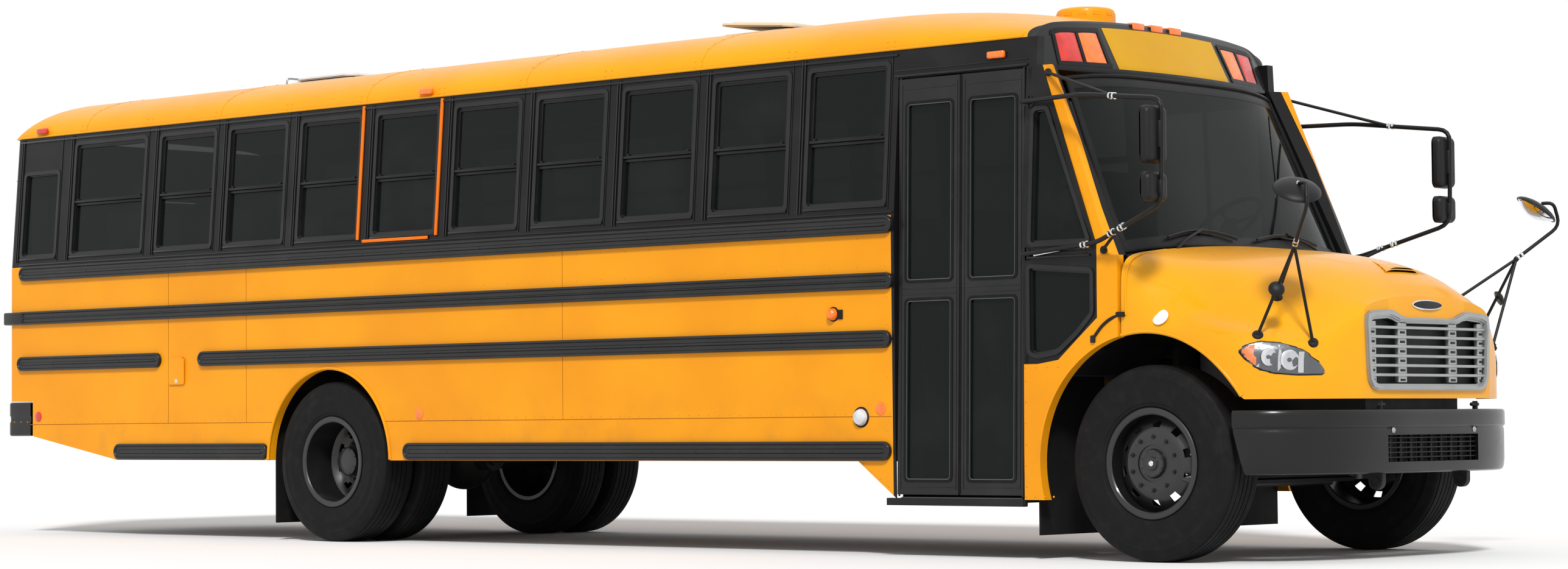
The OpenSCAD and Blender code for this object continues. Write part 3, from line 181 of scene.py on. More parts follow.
def painted(name, first=YELLOW, second=DEEP, roughness=0.36, coat=0.12, grime=True):
    """Sprayed enamel: slow changes of shade, fine orange peel and road dust low down."""
    s = Shader(name)
    cloud = s.noise(1.3, 4.0)
    colour = s.mix(cloud.step(0.3, 0.75), first, second)
    z = s.axes()[2]
    if grime:
        dust = (1 - z.step(0.35, 1.1)) * s.noise(5.0, 5.0).step(0.42, 0.75) * 0.3
        colour = s.mix(dust, colour, rgb(150, 108, 50))
    peel = s.noise(260.0, 2.0)
    s.set(Base_Color=colour, Roughness=s.noise(9.0, 4.0) * 0.16 + (roughness - 0.08),
          Normal=s.bump(peel, 0.05), Coat_Weight=coat, Coat_Roughness=0.08)
    s.surface.inputs["Specular IOR Level"].default_value = 0.15
    return s


def black_finish(name, colour=BLACK, roughness=0.35, grain=420.0, depth=0.12, coat=0.0, level=0.22):
    """Black enamel or moulded plastic with a fine grain and dusty patches."""
    s = Shader(name)
    patch = s.noise(3.0, 5.0).step(0.45, 0.8) * 0.5
    lighter = tuple(c * 1.9 + 0.004 for c in colour)
    s.set(Base_Color=s.mix(patch, colour, lighter), Roughness=s.noise(14.0, 4.0) * 0.2 + (roughness - 0.1),
          Normal=s.bump(s.noise(grain, 2.0), depth), Coat_Weight=coat, Coat_Roughness=0.1)
    s.surface.inputs["Specular IOR Level"].default_value = level
    return s


def metal(name, colour, roughness=0.3, grain=180.0, stretch=None, metallic=1.0):
    """Bare or plated metal with fine brushing and dull spots."""
    s = Shader(name)
    dull = s.noise(grain, 3.0, stretch=stretch)
    s.set(Base_Color=s.mix(s.noise(6.0).step(0.4, 0.8) * 0.35, colour, tuple(c * 0.7 for c in colour)),
          Roughness=dull * 0.2 + (roughness - 0.1), Metallic=metallic, Normal=s.bump(dull, 0.06))
    return s


def lens(name, colour, glow=0.0):
    """Moulded lamp lens with a fine pattern of ribs."""
    s = Shader(name)
    _, y, z = s.axes()
    ribs = (y * 520.0).math("SINE") * (z * 520.0).math("SINE")
    tint = s.mix(s.noise(20.0).step(0.3, 0.8), colour, tuple(c * 0.7 for c in colour))
    s.set(Base_Color=tint, Roughness=s.noise(30.0) * 0.1 + 0.06, Normal=s.bump(ribs, 0.35, 0.002),
          Coat_Weight=0.6, Coat_Roughness=0.03, Emission_Color=colour)
    s.surface.inputs["Emission Strength"].default_value = glow
    return s


def tinted_glass(name, alpha, colour=(0.006, 0.008, 0.008)):
    s = Shader(name)
    haze = s.noise(2.2, 4.0).step(0.5, 0.9)
    s.set(Base_Color=s.mix(haze * 0.4, colour, (0.02, 0.022, 0.022)), Roughness=haze * 0.05 + 0.03,
          Alpha=haze * 0.05 + alpha, Normal=s.bump(s.noise(0.8, 1.0), 0.02, 0.01))
    s.surface.inputs["Specular IOR Level"].default_value = 0.16
    return s


def wall_paint(name, right_side):
    """Body panels: yellow below the belt, black round the windows and the doors."""
    s = painted(name)
    x, _, z = s.axes()
    x = x - AXLE
    edges = ([(-1.735, BAND_Z), (-1.734, 0.0), (-0.80, 0.0), (-0.799, 1.065)] if right_side
             else [(-1.735, BAND_Z), (-1.734, 1.640), (-0.80, 1.640), (-0.799, 1.065)])
    edges += [(-0.70, 1.065), (-0.56, 1.085), (-0.43, 1.195), (-0.292, 1.310), (-0.291, 3.0), (-0.2, 3.0)]
    first, last, top = edges[0][0], edges[-1][0], 3.0
    stops = [((a - first) / (last - first), (h / top,) * 3) for a, h in edges]
    height = s.node("ValToRGB", {"stops": stops},
                    {0: s.node("MapRange", None, {"Value": x, "From Min": first, "From Max": last})})
    above = (z / top) > height
    old = s.surface.inputs["Base Color"].links[0].from_socket
    shade = s.mix(s.noise(3.0, 4.0).step(0.45, 0.8) * 0.4, BLACK, rgb(44, 44, 45))
    s.set(Base_Color=s.mix(above, Value(s, old), shade))
    return s


def rubber_finish(name, colour=rgb(17, 17, 18)):
    s = Shader(name)
    dust = s.noise(12.0, 6.0, 0.6).step(0.45, 0.8) * 0.5
    s.set(Base_Color=s.mix(dust, colour, rgb(38, 37, 36)), Roughness=s.noise(40.0, 3.0) * 0.2 + 0.6,
          Normal=s.bump(s.noise(300.0, 3.0), 0.2))
    s.surface.inputs["Specular IOR Level"].default_value = 0.16
    return s


def cloth_vinyl(name, colour):
    """Seat vinyl: pebbled grain with worn, lighter patches."""
    s = Shader(name)
    grain = s.node("TexVoronoi", None, {"Vector": s.place(), "Scale": 300.0})
    wear = s.noise(7.0, 5.0).step(0.5, 0.8) * 0.4
    s.set(Base_Color=s.mix(wear, colour, tuple(c * 1.7 + 0.01 for c in colour)),
          Roughness=s.noise(20.0) * 0.15 + 0.45, Normal=s.bump(grain, 0.25))
    return s


def mesh_cloth(name, colour, scale):
    """Perforated or woven sheet: small dark holes in a regular grid."""
    s = Shader(name)
    _, y, z = s.axes()
    holes = ((y * scale).math("SINE") * (z * scale).math("SINE")).step(-0.2, 0.5)
    s.set(Base_Color=s.mix(holes, colour, (0.002, 0.002, 0.002)), Roughness=s.noise(30.0) * 0.2 + 0.4,
          Normal=s.bump(holes, 0.6, 0.003))
    return s


yellow = painted("body_yellow_enamel")
roof_yellow = painted("roof_yellow_enamel", PALE, YELLOW, grime=False)
hood_yellow = painted("hood_yellow_enamel", rgb(234, 163, 14), rgb(227, 152, 12), roughness=0.3,
                      coat=0.25, grime=False)
right_paint = wall_paint("right_wall_paint", True)
left_paint = wall_paint("left_wall_paint", False)
trim = black_finish("black_trim", roughness=0.38)
frame_black = black_finish("window_frame_black", rgb(24, 24, 25), roughness=0.3, coat=0.2)
cap_black = black_finish("cap_black", rgb(30, 31, 32), roughness=0.34, coat=0.3)
bumper_black = black_finish("bumper_black", rgb(14, 14, 15), roughness=0.24, coat=0.12, level=0.3)
plastic = black_finish("moulded_black", rgb(24, 24, 26), roughness=0.42, grain=900.0, depth=0.3)
chassis = black_finish("chassis_black", rgb(28, 28, 28), roughness=0.55, depth=0.3)
rail_black = black_finish("rub_rail_black", rgb(28, 28, 29), roughness=0.34, coat=0.25)
tyre_rubber = rubber_finish("tyre_rubber")
seal_rubber = rubber_finish("seal_rubber", rgb(18, 18, 18))
flap_rubber = rubber_finish("flap_rubber", rgb(22, 22, 22))
wheel_black = black_finish("wheel_black", rgb(24, 24, 25), roughness=0.34, coat=0.3, level=0.45)
chrome = metal("chrome_plate", (0.75, 0.76, 0.78), 0.14, 90.0)
steel = metal("bare_steel", (0.42, 0.42, 0.43), 0.36)
iron = metal("engine_iron", (0.16, 0.16, 0.17), 0.5, 60.0)
satin = metal("grille_satin", rgb(168, 170, 170), 0.38, 300.0, metallic=0.75)
window_glass = tinted_glass("tinted_side_glass", 0.80)
screen_glass = tinted_glass("windshield_glass", 0.62)
mirror_glass = metal("mirror_silver", (0.8, 0.82, 0.84), 0.1, 20.0)
amber = lens("amber_lens", rgb(255, 120, 18), 0.12)
red = lens("red_lens", rgb(214, 34, 20), 0.08)
clear = lens("clear_lens", rgb(222, 224, 226))
sign_yellow = painted("sign_panel_yellow", rgb(212, 160, 20), rgb(202, 148, 16), roughness=0.45, coat=0.1,
                      grime=False)
orange = painted("exit_stripe_orange", rgb(240, 120, 22), rgb(230, 110, 18), roughness=0.5, coat=0.0,
                 grime=False)
# Painted seam shadow: a dark brown-orange for thin strips that stand in for the shade along the panel laps.
seam_shadow_brown = painted("painted_seam_shadow", rgb(176, 108, 22), rgb(150, 92, 20), roughness=0.7, coat=0.0,
                     grime=False)
white = painted("white_enamel", rgb(238, 238, 234), rgb(228, 228, 224), grime=False)
stop_red = painted("stop_sign_red", rgb(190, 26, 24), rgb(176, 22, 20), roughness=0.45, coat=0.1, grime=False)
beige = painted("hatch_beige", rgb(222, 206, 176), rgb(208, 192, 164), roughness=0.5, coat=0.0, grime=False)
pale_grey = painted("hatch_grey", rgb(224, 224, 222), rgb(210, 210, 208), roughness=0.5, coat=0.0,
                    grime=False)
vinyl = cloth_vinyl("seat_vinyl", rgb(38, 40, 44))
floor_grey = rubber_finish("ribbed_floor", rgb(58, 58, 60))
dash_grey = black_finish("dash_grey", rgb(40, 40, 42), roughness=0.5, grain=700.0, depth=0.35)
core_mesh = mesh_cloth("radiator_core", rgb(36, 36, 38), 900.0)
nosing = metal("step_nosing", rgb(120, 120, 118), 0.5, 260.0, metallic=0.4)


# ---------- mesh helpers ----------
def span(side, a, b):
    """The range from a to b on one side of the centre line, side being 1 or -1."""
    return tuple(sorted((side * a, side * b)))


def meshes(count):
    return [bmesh.new() for _ in range(count)]


def piece(name, bm, finish, body="body", sharp=32, replaces=(), recalc=True):
    """Closes a bmesh into a named object that rides on a body."""
    bmesh.ops.remove_doubles(bm, verts=bm.verts, dist=2e-5)
    if recalc:
        bmesh.ops.recalc_face_normals(bm, faces=bm.faces)
    for face in bm.faces:
        face.smooth = True
    for edge in bm.edges:
        edge.smooth = len(edge.link_faces) == 2 and edge.calc_face_angle(0) < math.radians(sharp)
    mesh = bpy.data.meshes.new(name)
    bm.to_mesh(mesh)
    bm.free()
    made = bpy.data.objects.new(name, mesh)
    bpy.context.scene.collection.objects.link(made)
    for one in finish if isinstance(finish, (list, tuple)) else [finish]:
        mesh.materials.append(one.material)
    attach(made, body)
    if replaces:
        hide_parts(*replaces)
    return made


def block(bm, x, y, z, bevel=0.0, segments=2, ink=0):
    """A box between two values on each axis, with rounded edges."""
    centre = at(sum(x) / 2, sum(y) / 2, sum(z) / 2)
    size = Matrix.Diagonal((abs(x[1] - x[0]) / 1000, abs(y[1] - y[0]) / 1000, abs(z[1] - z[0]) / 1000, 1))
    made = bmesh.ops.create_cube(bm, size=1, matrix=Matrix.Translation(centre) @ size)["verts"]
    faces = list({f for v in made for f in v.link_faces})
    if bevel:
        out = bmesh.ops.bevel(bm, geom=list({e for v in made for e in v.link_edges}), offset=bevel / 1000,
                              offset_type="OFFSET", affect="EDGES", segments=segments, profile=0.5,
                              material=-1,
                              clamp_overlap=True)
        faces = list({f for v in out["verts"] for f in v.link_faces} | {f for f in faces if f.is_valid})
    for f in faces:
        f.material_index = ink
    return faces


def lift(axis, a, b, depth):
    """A point of an outline drawn across an axis: (y, z) for x, (x, z) for y and (x, y) for z."""
    return at(depth, a, b) if axis == "x" else at(a, depth, b) if axis == "y" else at(a, b, depth)


def plate(bm, outline, axis, d0, d1, bevel=0.0, segments=2, ink=0):
    """An outline pushed along an axis, its two rims rounded."""
    face = bm.faces.new([bm.verts.new(lift(axis, a, b, d0)) for a, b in outline])
    out = bmesh.ops.extrude_face_region(bm, geom=[face])["geom"]
    move = lift(axis, 0, 0, d1) - lift(axis, 0, 0, d0)
    tops = [g for g in out if isinstance(g, bmesh.types.BMVert)]
    bmesh.ops.translate(bm, vec=move, verts=tops)
    top = [g for g in out if isinstance(g, bmesh.types.BMFace)]
    if not face.is_valid:
        face = None
    faces = list({f for v in tops for f in v.link_faces}) + ([face] if face else [])
    if bevel:
        rim = [e for f in top for e in f.edges]
        out = bmesh.ops.bevel(bm, geom=rim, offset=bevel / 1000, offset_type="OFFSET", affect="EDGES",
                              segments=segments, profile=0.5, material=-1, clamp_overlap=True)
        near = {f for f in out["faces"] for e in f.edges for f in e.link_faces}
        faces = [f for f in faces if f.is_valid] + list(near)
        level = lift(axis, 0, 0, d1)["xyz".index(axis)]
        top = [f for f in near if all(abs(v.co["xyz".index(axis)] - level) < 1e-6 for v in f.verts)]
    for f in faces:
        f.material_index = ink
    return faces, [f for f in top if f.is_valid]


def rounded(x0, z0, x1, z1, r, n=5):
    """Corner points of a rectangle with rounded corners."""
    points = []
    for cx, cz, start in ((x1 - r, z1 - r, 0), (x0 + r, z1 - r, 90), (x0 + r, z0 + r, 180),
                          (x1 - r, z0 + r, 270)):
        for i in range(n + 1):
            a = math.radians(start + 90 * i / n)
            points.append((cx + r * math.cos(a), cz + r * math.sin(a)))
    return points


def ring(bm, outer, inner, axis, d0, d1, ink=0):
    """A flat frame between two outlines with the same number of points, pushed along an axis."""
    loops = []
    for outline in (outer, inner):
        vs = [bm.verts.new(lift(axis, a, b, d0)) for a, b in outline]
        loops += [bm.edges.new((vs[i], vs[(i + 1) % len(vs)])) for i in range(len(vs))]
    faces = bmesh.ops.bridge_loops(bm, edges=loops)["faces"]
    out = bmesh.ops.extrude_face_region(bm, geom=faces)["geom"]
    tops = [g for g in out if isinstance(g, bmesh.types.BMVert)]
    bmesh.ops.translate(bm, vec=lift(axis, 0, 0, d1) - lift(axis, 0, 0, d0), verts=tops)
    for f in {f for v in tops for f in v.link_faces} | {f for f in faces if f.is_valid}:
        f.material_index = ink


def lathe(bm, profile, centre, axis, steps=64, ink=0, closed=False):
    """Turns (radius, depth) points round an axis through centre; depth runs along the axis."""
    axis = Vector(axis).normalized()
    across = axis.orthogonal().normalized()
    vs = [bm.verts.new(centre + across * r / 1000 + axis * d / 1000) for r, d in profile]
    edges = [bm.edges.new((vs[i], vs[i + 1])) for i in range(len(vs) - 1)]
    if closed:
        edges.append(bm.edges.new((vs[-1], vs[0])))
    before = set(bm.faces)
    bmesh.ops.spin(bm, geom=vs + edges, cent=centre, axis=axis, dvec=(0, 0, 0), angle=TAU, steps=steps,
                   use_merge=True, use_duplicate=False)
    new = [f for f in bm.faces if f not in before]
    for f in new:
        f.material_index = ink
    return new


def rod(bm, points, r, bend=0.0, sides=12, ink=0):
    """A round rod through points in millimetres, its corners rounded to a bend radius."""
    path = [Vector(points[0])]
    for i in range(1, len(points) - 1):
        a, b, c = Vector(points[i - 1]), Vector(points[i]), Vector(points[i + 1])
        cut = min(bend, (a - b).length * 0.45, (c - b).length * 0.45)
        if cut < 1:
            path.append(b)
            continue
        p, q = b + (a - b).normalized() * cut, b + (c - b).normalized() * cut
        path += [p.lerp(b, t).lerp(b.lerp(q, t), t) for t in (0, 0.25, 0.5, 0.75, 1)]
    path.append(Vector(points[-1]))
    start = (path[1] - path[0]).normalized()
    base = bmesh.ops.create_circle(bm, cap_ends=True, cap_tris=False, segments=sides, radius=r / 1000,
                                   matrix=Matrix.Translation(at(*path[0]))
                                   @ start.to_track_quat("Z", "Y").to_matrix().to_4x4())["verts"]
    cap = next(f for f in base[0].link_faces if all(v in f.verts for v in base))
    heading = start
    faces = [cap]
    for i in range(1, len(path)):
        out = bmesh.ops.extrude_face_region(bm, geom=[cap])["geom"]
        ring_verts = [g for g in out if isinstance(g, bmesh.types.BMVert)]
        cap = next(g for g in out if isinstance(g, bmesh.types.BMFace))
        here, before = at(*path[i]), at(*path[i - 1])
        bmesh.ops.translate(bm, vec=here - before, verts=ring_verts)
        onward = (path[min(i + 1, len(path) - 1)] - path[i - 1]).normalized()
        swing = heading.rotation_difference(onward).to_matrix()
        bmesh.ops.rotate(bm, cent=here, matrix=swing, verts=ring_verts)
        heading = onward
        faces += [f for v in ring_verts for f in v.link_faces]
    for f in set(faces):
        if f.is_valid:
            f.material_index = ink


def patch(bm, shape, nu, nv, thickness=0.0, ink=0):
    """A grid laid by shape(u, v), u and v from 0 to 1, with a wall of some thickness behind it."""
    verts = bmesh.ops.create_grid(bm, x_segments=nu, y_segments=nv, size=0.5)["verts"]
    faces = list({f for v in verts for f in v.link_faces})
    for v in verts:
        v.co = shape(v.co.x + 0.5, v.co.y + 0.5)
    if thickness:
        out = bmesh.ops.solidify(bm, geom=faces, thickness=thickness / 1000)["geom"]
        faces = list(set(faces) | {g for g in out if isinstance(g, bmesh.types.BMFace)})
        faces = list(set(f for f in faces if f.is_valid for e in f.edges for f in e.link_faces))
    for f in faces:
        f.material_index = ink
    return faces


def mirrored(bm):
    """Adds the other side's copy of everything made so far."""
    bmesh.ops.mirror(bm, geom=bm.verts[:] + bm.edges[:] + bm.faces[:], matrix=Matrix.Identity(4),
                     merge_dist=-1, axis="Y", mirror_u=False, mirror_v=False)


def rivet(bm, place, outward, r=0.005, ink=0):
    """A low domed rivet head."""
    spin = Vector(outward).to_track_quat("Z", "Y").to_matrix().to_4x4()
    made = bmesh.ops.create_icosphere(bm, subdivisions=1, radius=r,
                                      matrix=Matrix.Translation(place) @ spin @ Matrix.Diagonal((1, 1,
                                              0.45, 1)))
    for v in made["verts"]:
        for f in v.link_faces:
            f.material_index = ink


def dress(name, finish):
    """Gives a CAD node its finish."""
    data = nodes[name].data
    data.materials.clear()
    data.materials.append(finish.material)


# ---------- sizes shared with the CAD ----------
WHEELBASE = 6579
REAR = -10115
HALF = 1219
BELT = 1900
EDGE_Z = 2864
EDGE_Y = 1148
ROOF_TOP = 3168
ROOF_FRONT = -800
STOP_ARM_X = -2360
STOP_ARM_Z = 1712
SLOT_Y, SLOT_LOW, SLOT_TOP = 0.458, 0.526, 0.667      # metres: the slot in the front bumper
SLOT_SLACK = 0.0005


def wall_y(z):
    return HALF - max(0, z - BELT) * (HALF - EDGE_Y) / (EDGE_Z - BELT)


def mix(a, b, t):
    return a + (b - a) * t


def crown(x):
    drop = 168 * ((x + 2300) / 1500) ** 2.2 if x > -2300 else 0
    return ROOF_TOP - drop


def arch(x, t, out=0.0, share=1.0):
    """A point of the roof's arch at x; t runs from 0 on the left edge to 1 on the right."""
    a = math.pi * t
    c, s = math.cos(a), math.sin(a)
    w, h = EDGE_Y + out, (crown(x) + out - EDGE_Z) * share
    return at(x, math.copysign(w * abs(c) ** (2 / 2.35), c), EDGE_Z + h * abs(s) ** (2 / 2.35))


# ---------- floor, light and background ----------
def background():
    world = bpy.data.worlds.new("studio")
    bpy.context.scene.world = world
    world.use_nodes = True
    tree = world.node_tree
    path = tree.nodes.new("ShaderNodeLightPath")
    seen = tree.nodes.new("ShaderNodeMath")
    seen.operation = "MAXIMUM"
    tree.links.new(path.outputs["Is Camera Ray"], seen.inputs[0])
    tree.links.new(path.outputs["Is Transmission Ray"], seen.inputs[1])
    glossy = tree.nodes.new("ShaderNodeMath")
    glossy.operation = "MAXIMUM"
    tree.links.new(seen.outputs[0], glossy.inputs[0])
    tree.links.new(path.outputs["Is Glossy Ray"], glossy.inputs[1])
    strength = tree.nodes.new("ShaderNodeMapRange")
    strength.inputs["To Min"].default_value = 0.60
    strength.inputs["To Max"].default_value = 1.0
    tree.links.new(glossy.outputs[0], strength.inputs["Value"])
    sky = tree.nodes["Background"]
    sky.inputs["Color"].default_value = (1, 1, 1, 1)
    tree.links.new(strength.outputs[0], sky.inputs["Strength"])


background()
lamp = bpy.data.lights.new("key", "SUN")
lamp.energy, lamp.angle = 2.5, math.radians(9)
key = bpy.data.objects.new("key", lamp)
bpy.context.scene.collection.objects.link(key)
key.rotation_mode = "QUATERNION"
key.rotation_quaternion = Vector((0.50, -0.58, 0.68)).to_track_quat("Z", "Y")

s = Shader("studio_floor")
x, y, z = s.axes()
far = ((x * x + y * y).math("POWER", 0.5)).step(9.0, 24.0)
s.set(Base_Color=s.mix(s.noise(0.6) * 0.15, (0.93, 0.93, 0.93), (0.88, 0.88, 0.88)), Roughness=0.9)
s.surface.inputs["Specular IOR Level"].default_value = 0.0
clearing = s.node("BsdfTransparent")
out = s.node("MixShader", None, {0: far, 1: Value(s, s.surface.outputs[0]), 2: clearing})
s.tree.links.new(out.socket, s.tree.nodes["Material Output"].inputs[0])
bm = bmesh.new()
bmesh.ops.create_circle(bm, cap_ends=True, segments=96, radius=26)
mesh = bpy.data.meshes.new("floor")
bm.to_mesh(mesh)
bm.free()
mesh.materials.append(s.material)
ground = bpy.data.objects.new("studio_floor", mesh)
bpy.context.scene.collection.objects.link(ground)


# ---------- CAD nodes that keep their shape ----------
def rear_paint():
    s = painted("rear_wall_paint")
    _, y, z = s.axes()
    corner = (y.math("ABSOLUTE") > 1.105) * (z > BAND_Z)
    old = s.surface.inputs["Base Color"].links[0].from_socket
    s.set(Base_Color=s.mix(corner, Value(s, old), BLACK))
    return s


def frame_paint():
    """The pillars are yellow outside; their faces beside the glass, and the header, are dark."""
    s = painted("pillar_paint", grime=False)
    _, y, z = s.axes()
    edge = (z - 1.9).math("MAXIMUM", 0.0) * -0.0737 + 1.172
    old = s.surface.inputs["Base Color"].links[0].from_socket
    s.set(Base_Color=s.mix(y.math("ABSOLUTE") < edge, Value(s, old), BLACK))
    return s


for finish, names in (
        (chassis, "frame_rails front_axle rear_axle leaf_springs drive_shaft fuel_tank stop_arm_bracket"),
        (iron, "engine left_knuckle right_knuckle tie_rod"),
        (steel, "exhaust"), (core_mesh, "radiator"), (flap_rubber, "mud_flaps"),
        (floor_grey, "floor"), (dash_grey, "dashboard"), (right_paint, "right_wall"),
                      (left_paint, "left_wall"),
        (rear_paint(), "rear_wall"), (yellow, "fuel_door rear_door"), (frame_paint(), "windshield_frame"),
        (trim, "cowl"),
        (frame_black, "entrance_leaf_rear entrance_leaf_front"),
        (window_glass, "entrance_glass_rear entrance_glass_front rear_door_glass"),
        (chassis, "entrance_steps"), (pale_grey, "roof_fittings")):
    for name in names.split():
        if name in nodes:
            dress(name, finish)


# ---------- roof ----------
HATCHES = (-3600, -WHEELBASE - 1120)


def roof_share(x):
    s = max(0.0, min(1.0, (x - REAR) / 330))
    return (1 - (1 - max(s, 0.006)) ** 2.4) ** (1 / 2.4)


def roof_shell():
    bm = bmesh.new()
    length = ROOF_FRONT - REAR

    def shape(u, v):
        x = REAR + length * (u ** 1.5 if u < 0.12 else mix(0.12 ** 1.5, 1, (u - 0.12) / 0.88))
        return arch(x, v, 0, roof_share(x))
    patch(bm, shape, 110, 64)
    for hx in HATCHES:
        for cx, cy, nx, ny in ((hx - 255, 0, 1, 0), (hx + 255, 0, 1, 0), (hx, -255, 0, 1), (hx, 255, 0, 1)):
            bmesh.ops.bisect_plane(bm, geom=bm.verts[:] + bm.edges[:] + bm.faces[:],
                                   plane_co=at(cx, cy, 3100),
                                   plane_no=(nx, ny, 0), dist=1e-5)
        holes = [f for f in bm.faces if (c := f.calc_center_median()).z > 3.0
                 and abs(c.x - AXLE - hx / 1000) < 0.255 and abs(c.y) < 0.255]
        bmesh.ops.delete(bm, geom=holes, context="FACES")
    bmesh.ops.recalc_face_normals(bm, faces=bm.faces)
    top = max(bm.faces, key=lambda f: f.calc_center_median().z)
    if top.normal.z < 0:
        bmesh.ops.reverse_faces(bm, faces=bm.faces[:])
    bmesh.ops.solidify(bm, geom=bm.faces[:], thickness=0.03)
    piece("roof_shell", bm, roof_yellow, sharp=40, replaces=["roof"], recalc=False)


roof_shell()


def roof_details():
    """Lap seams over the bows, gutters along the edges, rivets in fours beside each bow."""
    seams, gutters, rivets = meshes(3)
    bows = [-1782 - 69 - 753 * i + 70 for i in range(0, 11)]
    for k, bow in enumerate(bows):
        if k % 2 == 0 and bow < -2000:
            patch(seams, lambda u, v, b=bow: arch(b + 34 * u, v, 1.6), 1, 64, thickness=1.2)
        for dx in (-26, 26):
            for t in (0.012, 0.042):
                for tt in (t, 1 - t):
                    p = arch(bow + dx, tt, 1.0)
                    rivet(rivets, p, Vector((0, math.copysign(1, p.y), 0.25)), 0.006)
        if k % 2 == 0 and bow < -2000:
            for i in range(3, 22):
                p = arch(bow + 17, i / 24, 2.6)
                rivet(rivets, p, Vector((0, p.y * 0.8, 1)), 0.006)
    for sign in (1, -1):
        rod(gutters, [(REAR + 70, sign * (EDGE_Y + 5), EDGE_Z + 6),
                      (-830, sign * (EDGE_Y + 5), EDGE_Z + 6)], 8, sides=8)
    piece("roof_seams", seams, roof_yellow)
    piece("roof_gutters", gutters, roof_yellow)
    piece("roof_rivets", rivets, roof_yellow, sharp=80)


roof_details()

# ---------- side windows ----------
WINDOWS = [(-1782 - 753 * i - 606, -1782 - 753 * i, 1990, 2795) for i in range(9)]
WINDOWS += [(-9384, -8571, 1990, 2795), (-9975, -9567, 1990, 2605)]


def lean(bm, sign, start=0):
    """Moves what was drawn beside an upright wall at y = 0 onto the leaning side wall."""
    for v in list(bm.verts)[start:]:
        z = v.co.z * 1000
        v.co.y = sign * (wall_y(z) / 1000 + v.co.y)


def side_windows():
    for sign, tag in ((-1, "right"), (1, "left")):
        frames, upper, glass, posts = meshes(4)
        for x0, x1, z0, z1 in WINDOWS:
            split = z1 - z0 > 700
            outer = rounded(x0 - 13, z0 - 15, x1 + 13, z1 + 13, 40)
            inner = rounded(x0 + 14, z0 + 14, x1 - 14, z1 - 14, 24)
            ring(frames, outer, inner, "y", -26, 6)
            ring(frames, rounded(x0 + 2, z0 + 2, x1 - 2, z1 - 2, 32),
                 rounded(x0 + 24, z0 + 24, x1 - 24, z1 - 24, 18),
                 "y", -34, -8)
            block(frames, (x0 - 8, x1 + 8), (2, 13), (z0 - 16, z0 - 4), 3)
            mid = mix(z1, z0, 0.53)
            if split:
                block(upper, (x0 + 15, x1 - 15), (-24, 4), (mid - 3, mid + 13), 3)
                block(upper, (x0 + 15, x1 - 15), (-28, -6), (mid - 24, mid - 5), 3)
                ring(upper, rounded(x0 + 22, mid + 8, x1 - 22, z1 - 22, 14),
                     rounded(x0 + 36, mid + 20, x1 - 36, z1 - 40, 10), "y", -26, -9)
                for lx in (x0 + 46, x1 - 62):
                    block(upper, (lx, lx + 18), (-9, 2), (mid + 14, mid + 26), 2)
                plate(glass, rounded(x0 + 20, mid - 10, x1 - 20, z1 - 16, 12), "y", -23, -18)
                plate(glass, rounded(x0 + 20, z0 + 18, x1 - 20, mid + 2, 12), "y", -29, -24)
            else:
                plate(glass, rounded(x0 + 20, z0 + 20, x1 - 20, z1 - 20, 12), "y", -26, -20)
            for dx in (-56, -36):
                block(posts, (x0 + dx, x0 + dx + 9), (-1, 9), (z0 - 30, EDGE_Z - 12), 2)
            block(posts, (x1 + 20, x1 + 25), (-1, 5), (z0 - 30, EDGE_Z - 12), 1.5)
        block(posts, (REAR + 130, -1722), (-1, 9), (1938, 1946), 2)
        block(posts, (REAR + 60, -1722), (-1, 10), (2828, 2842), 3)
        for bm in (frames, upper, glass, posts):
            lean(bm, sign)
        piece(f"window_frames_{tag}", frames, frame_black)
        piece(f"window_sashes_{tag}", upper, trim)
        panes = piece(f"side_glass_{tag}", glass, window_glass)
        if sign < 0:
            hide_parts("body_glass")
        piece(f"window_posts_{tag}", posts, frame_black)


side_windows()

VENT = [(-745, 2440), (-728, 2462), (-660, 2466), (-645, 2455), (-340, 1715), (-745, 1715)]
SILL = [(-757, 1600), (-325, 1565), (-325, 1330), (-430, 1225), (-560, 1125), (-700, 1105), (-757, 1125)]
DRIVER = rounded(-1640, 1700, -820, 2640, 40)


def grown(outline, by):
    """An outline moved outwards by a distance, corner by corner."""
    points = [Vector(p) for p in outline]
    area = sum(a.x * b.y - b.x * a.y for a, b in zip(points, points[1:] + points[:1]))
    turn_sign = 1 if area > 0 else -1
    grown_points = []
    for i, p in enumerate(points):
        a, b = points[i - 1], points[(i + 1) % len(points)]
        n1 = Vector(((p - a).y, -(p - a).x)).normalized() * turn_sign
        n2 = Vector(((b - p).y, -(b - p).x)).normalized() * turn_sign
        n = (n1 + n2).normalized()
        grown_points.append(tuple(p + n * by / max(0.5, n.dot(n1))))
    return grown_points


def softened(outline, r=26, n=4):
    """An outline with its corners rounded off."""
    made = []
    points = [Vector(p) for p in outline]
    for i, p in enumerate(points):
        a, b = points[i - 1], points[(i + 1) % len(points)]
        cut = min(r, (a - p).length * 0.42, (b - p).length * 0.42)
        p0, p1 = p + (a - p).normalized() * cut, p + (b - p).normalized() * cut
        made += [tuple(p0.lerp(p, t / n).lerp(p.lerp(p1, t / n), t / n)) for t in range(n + 1)]
    return made


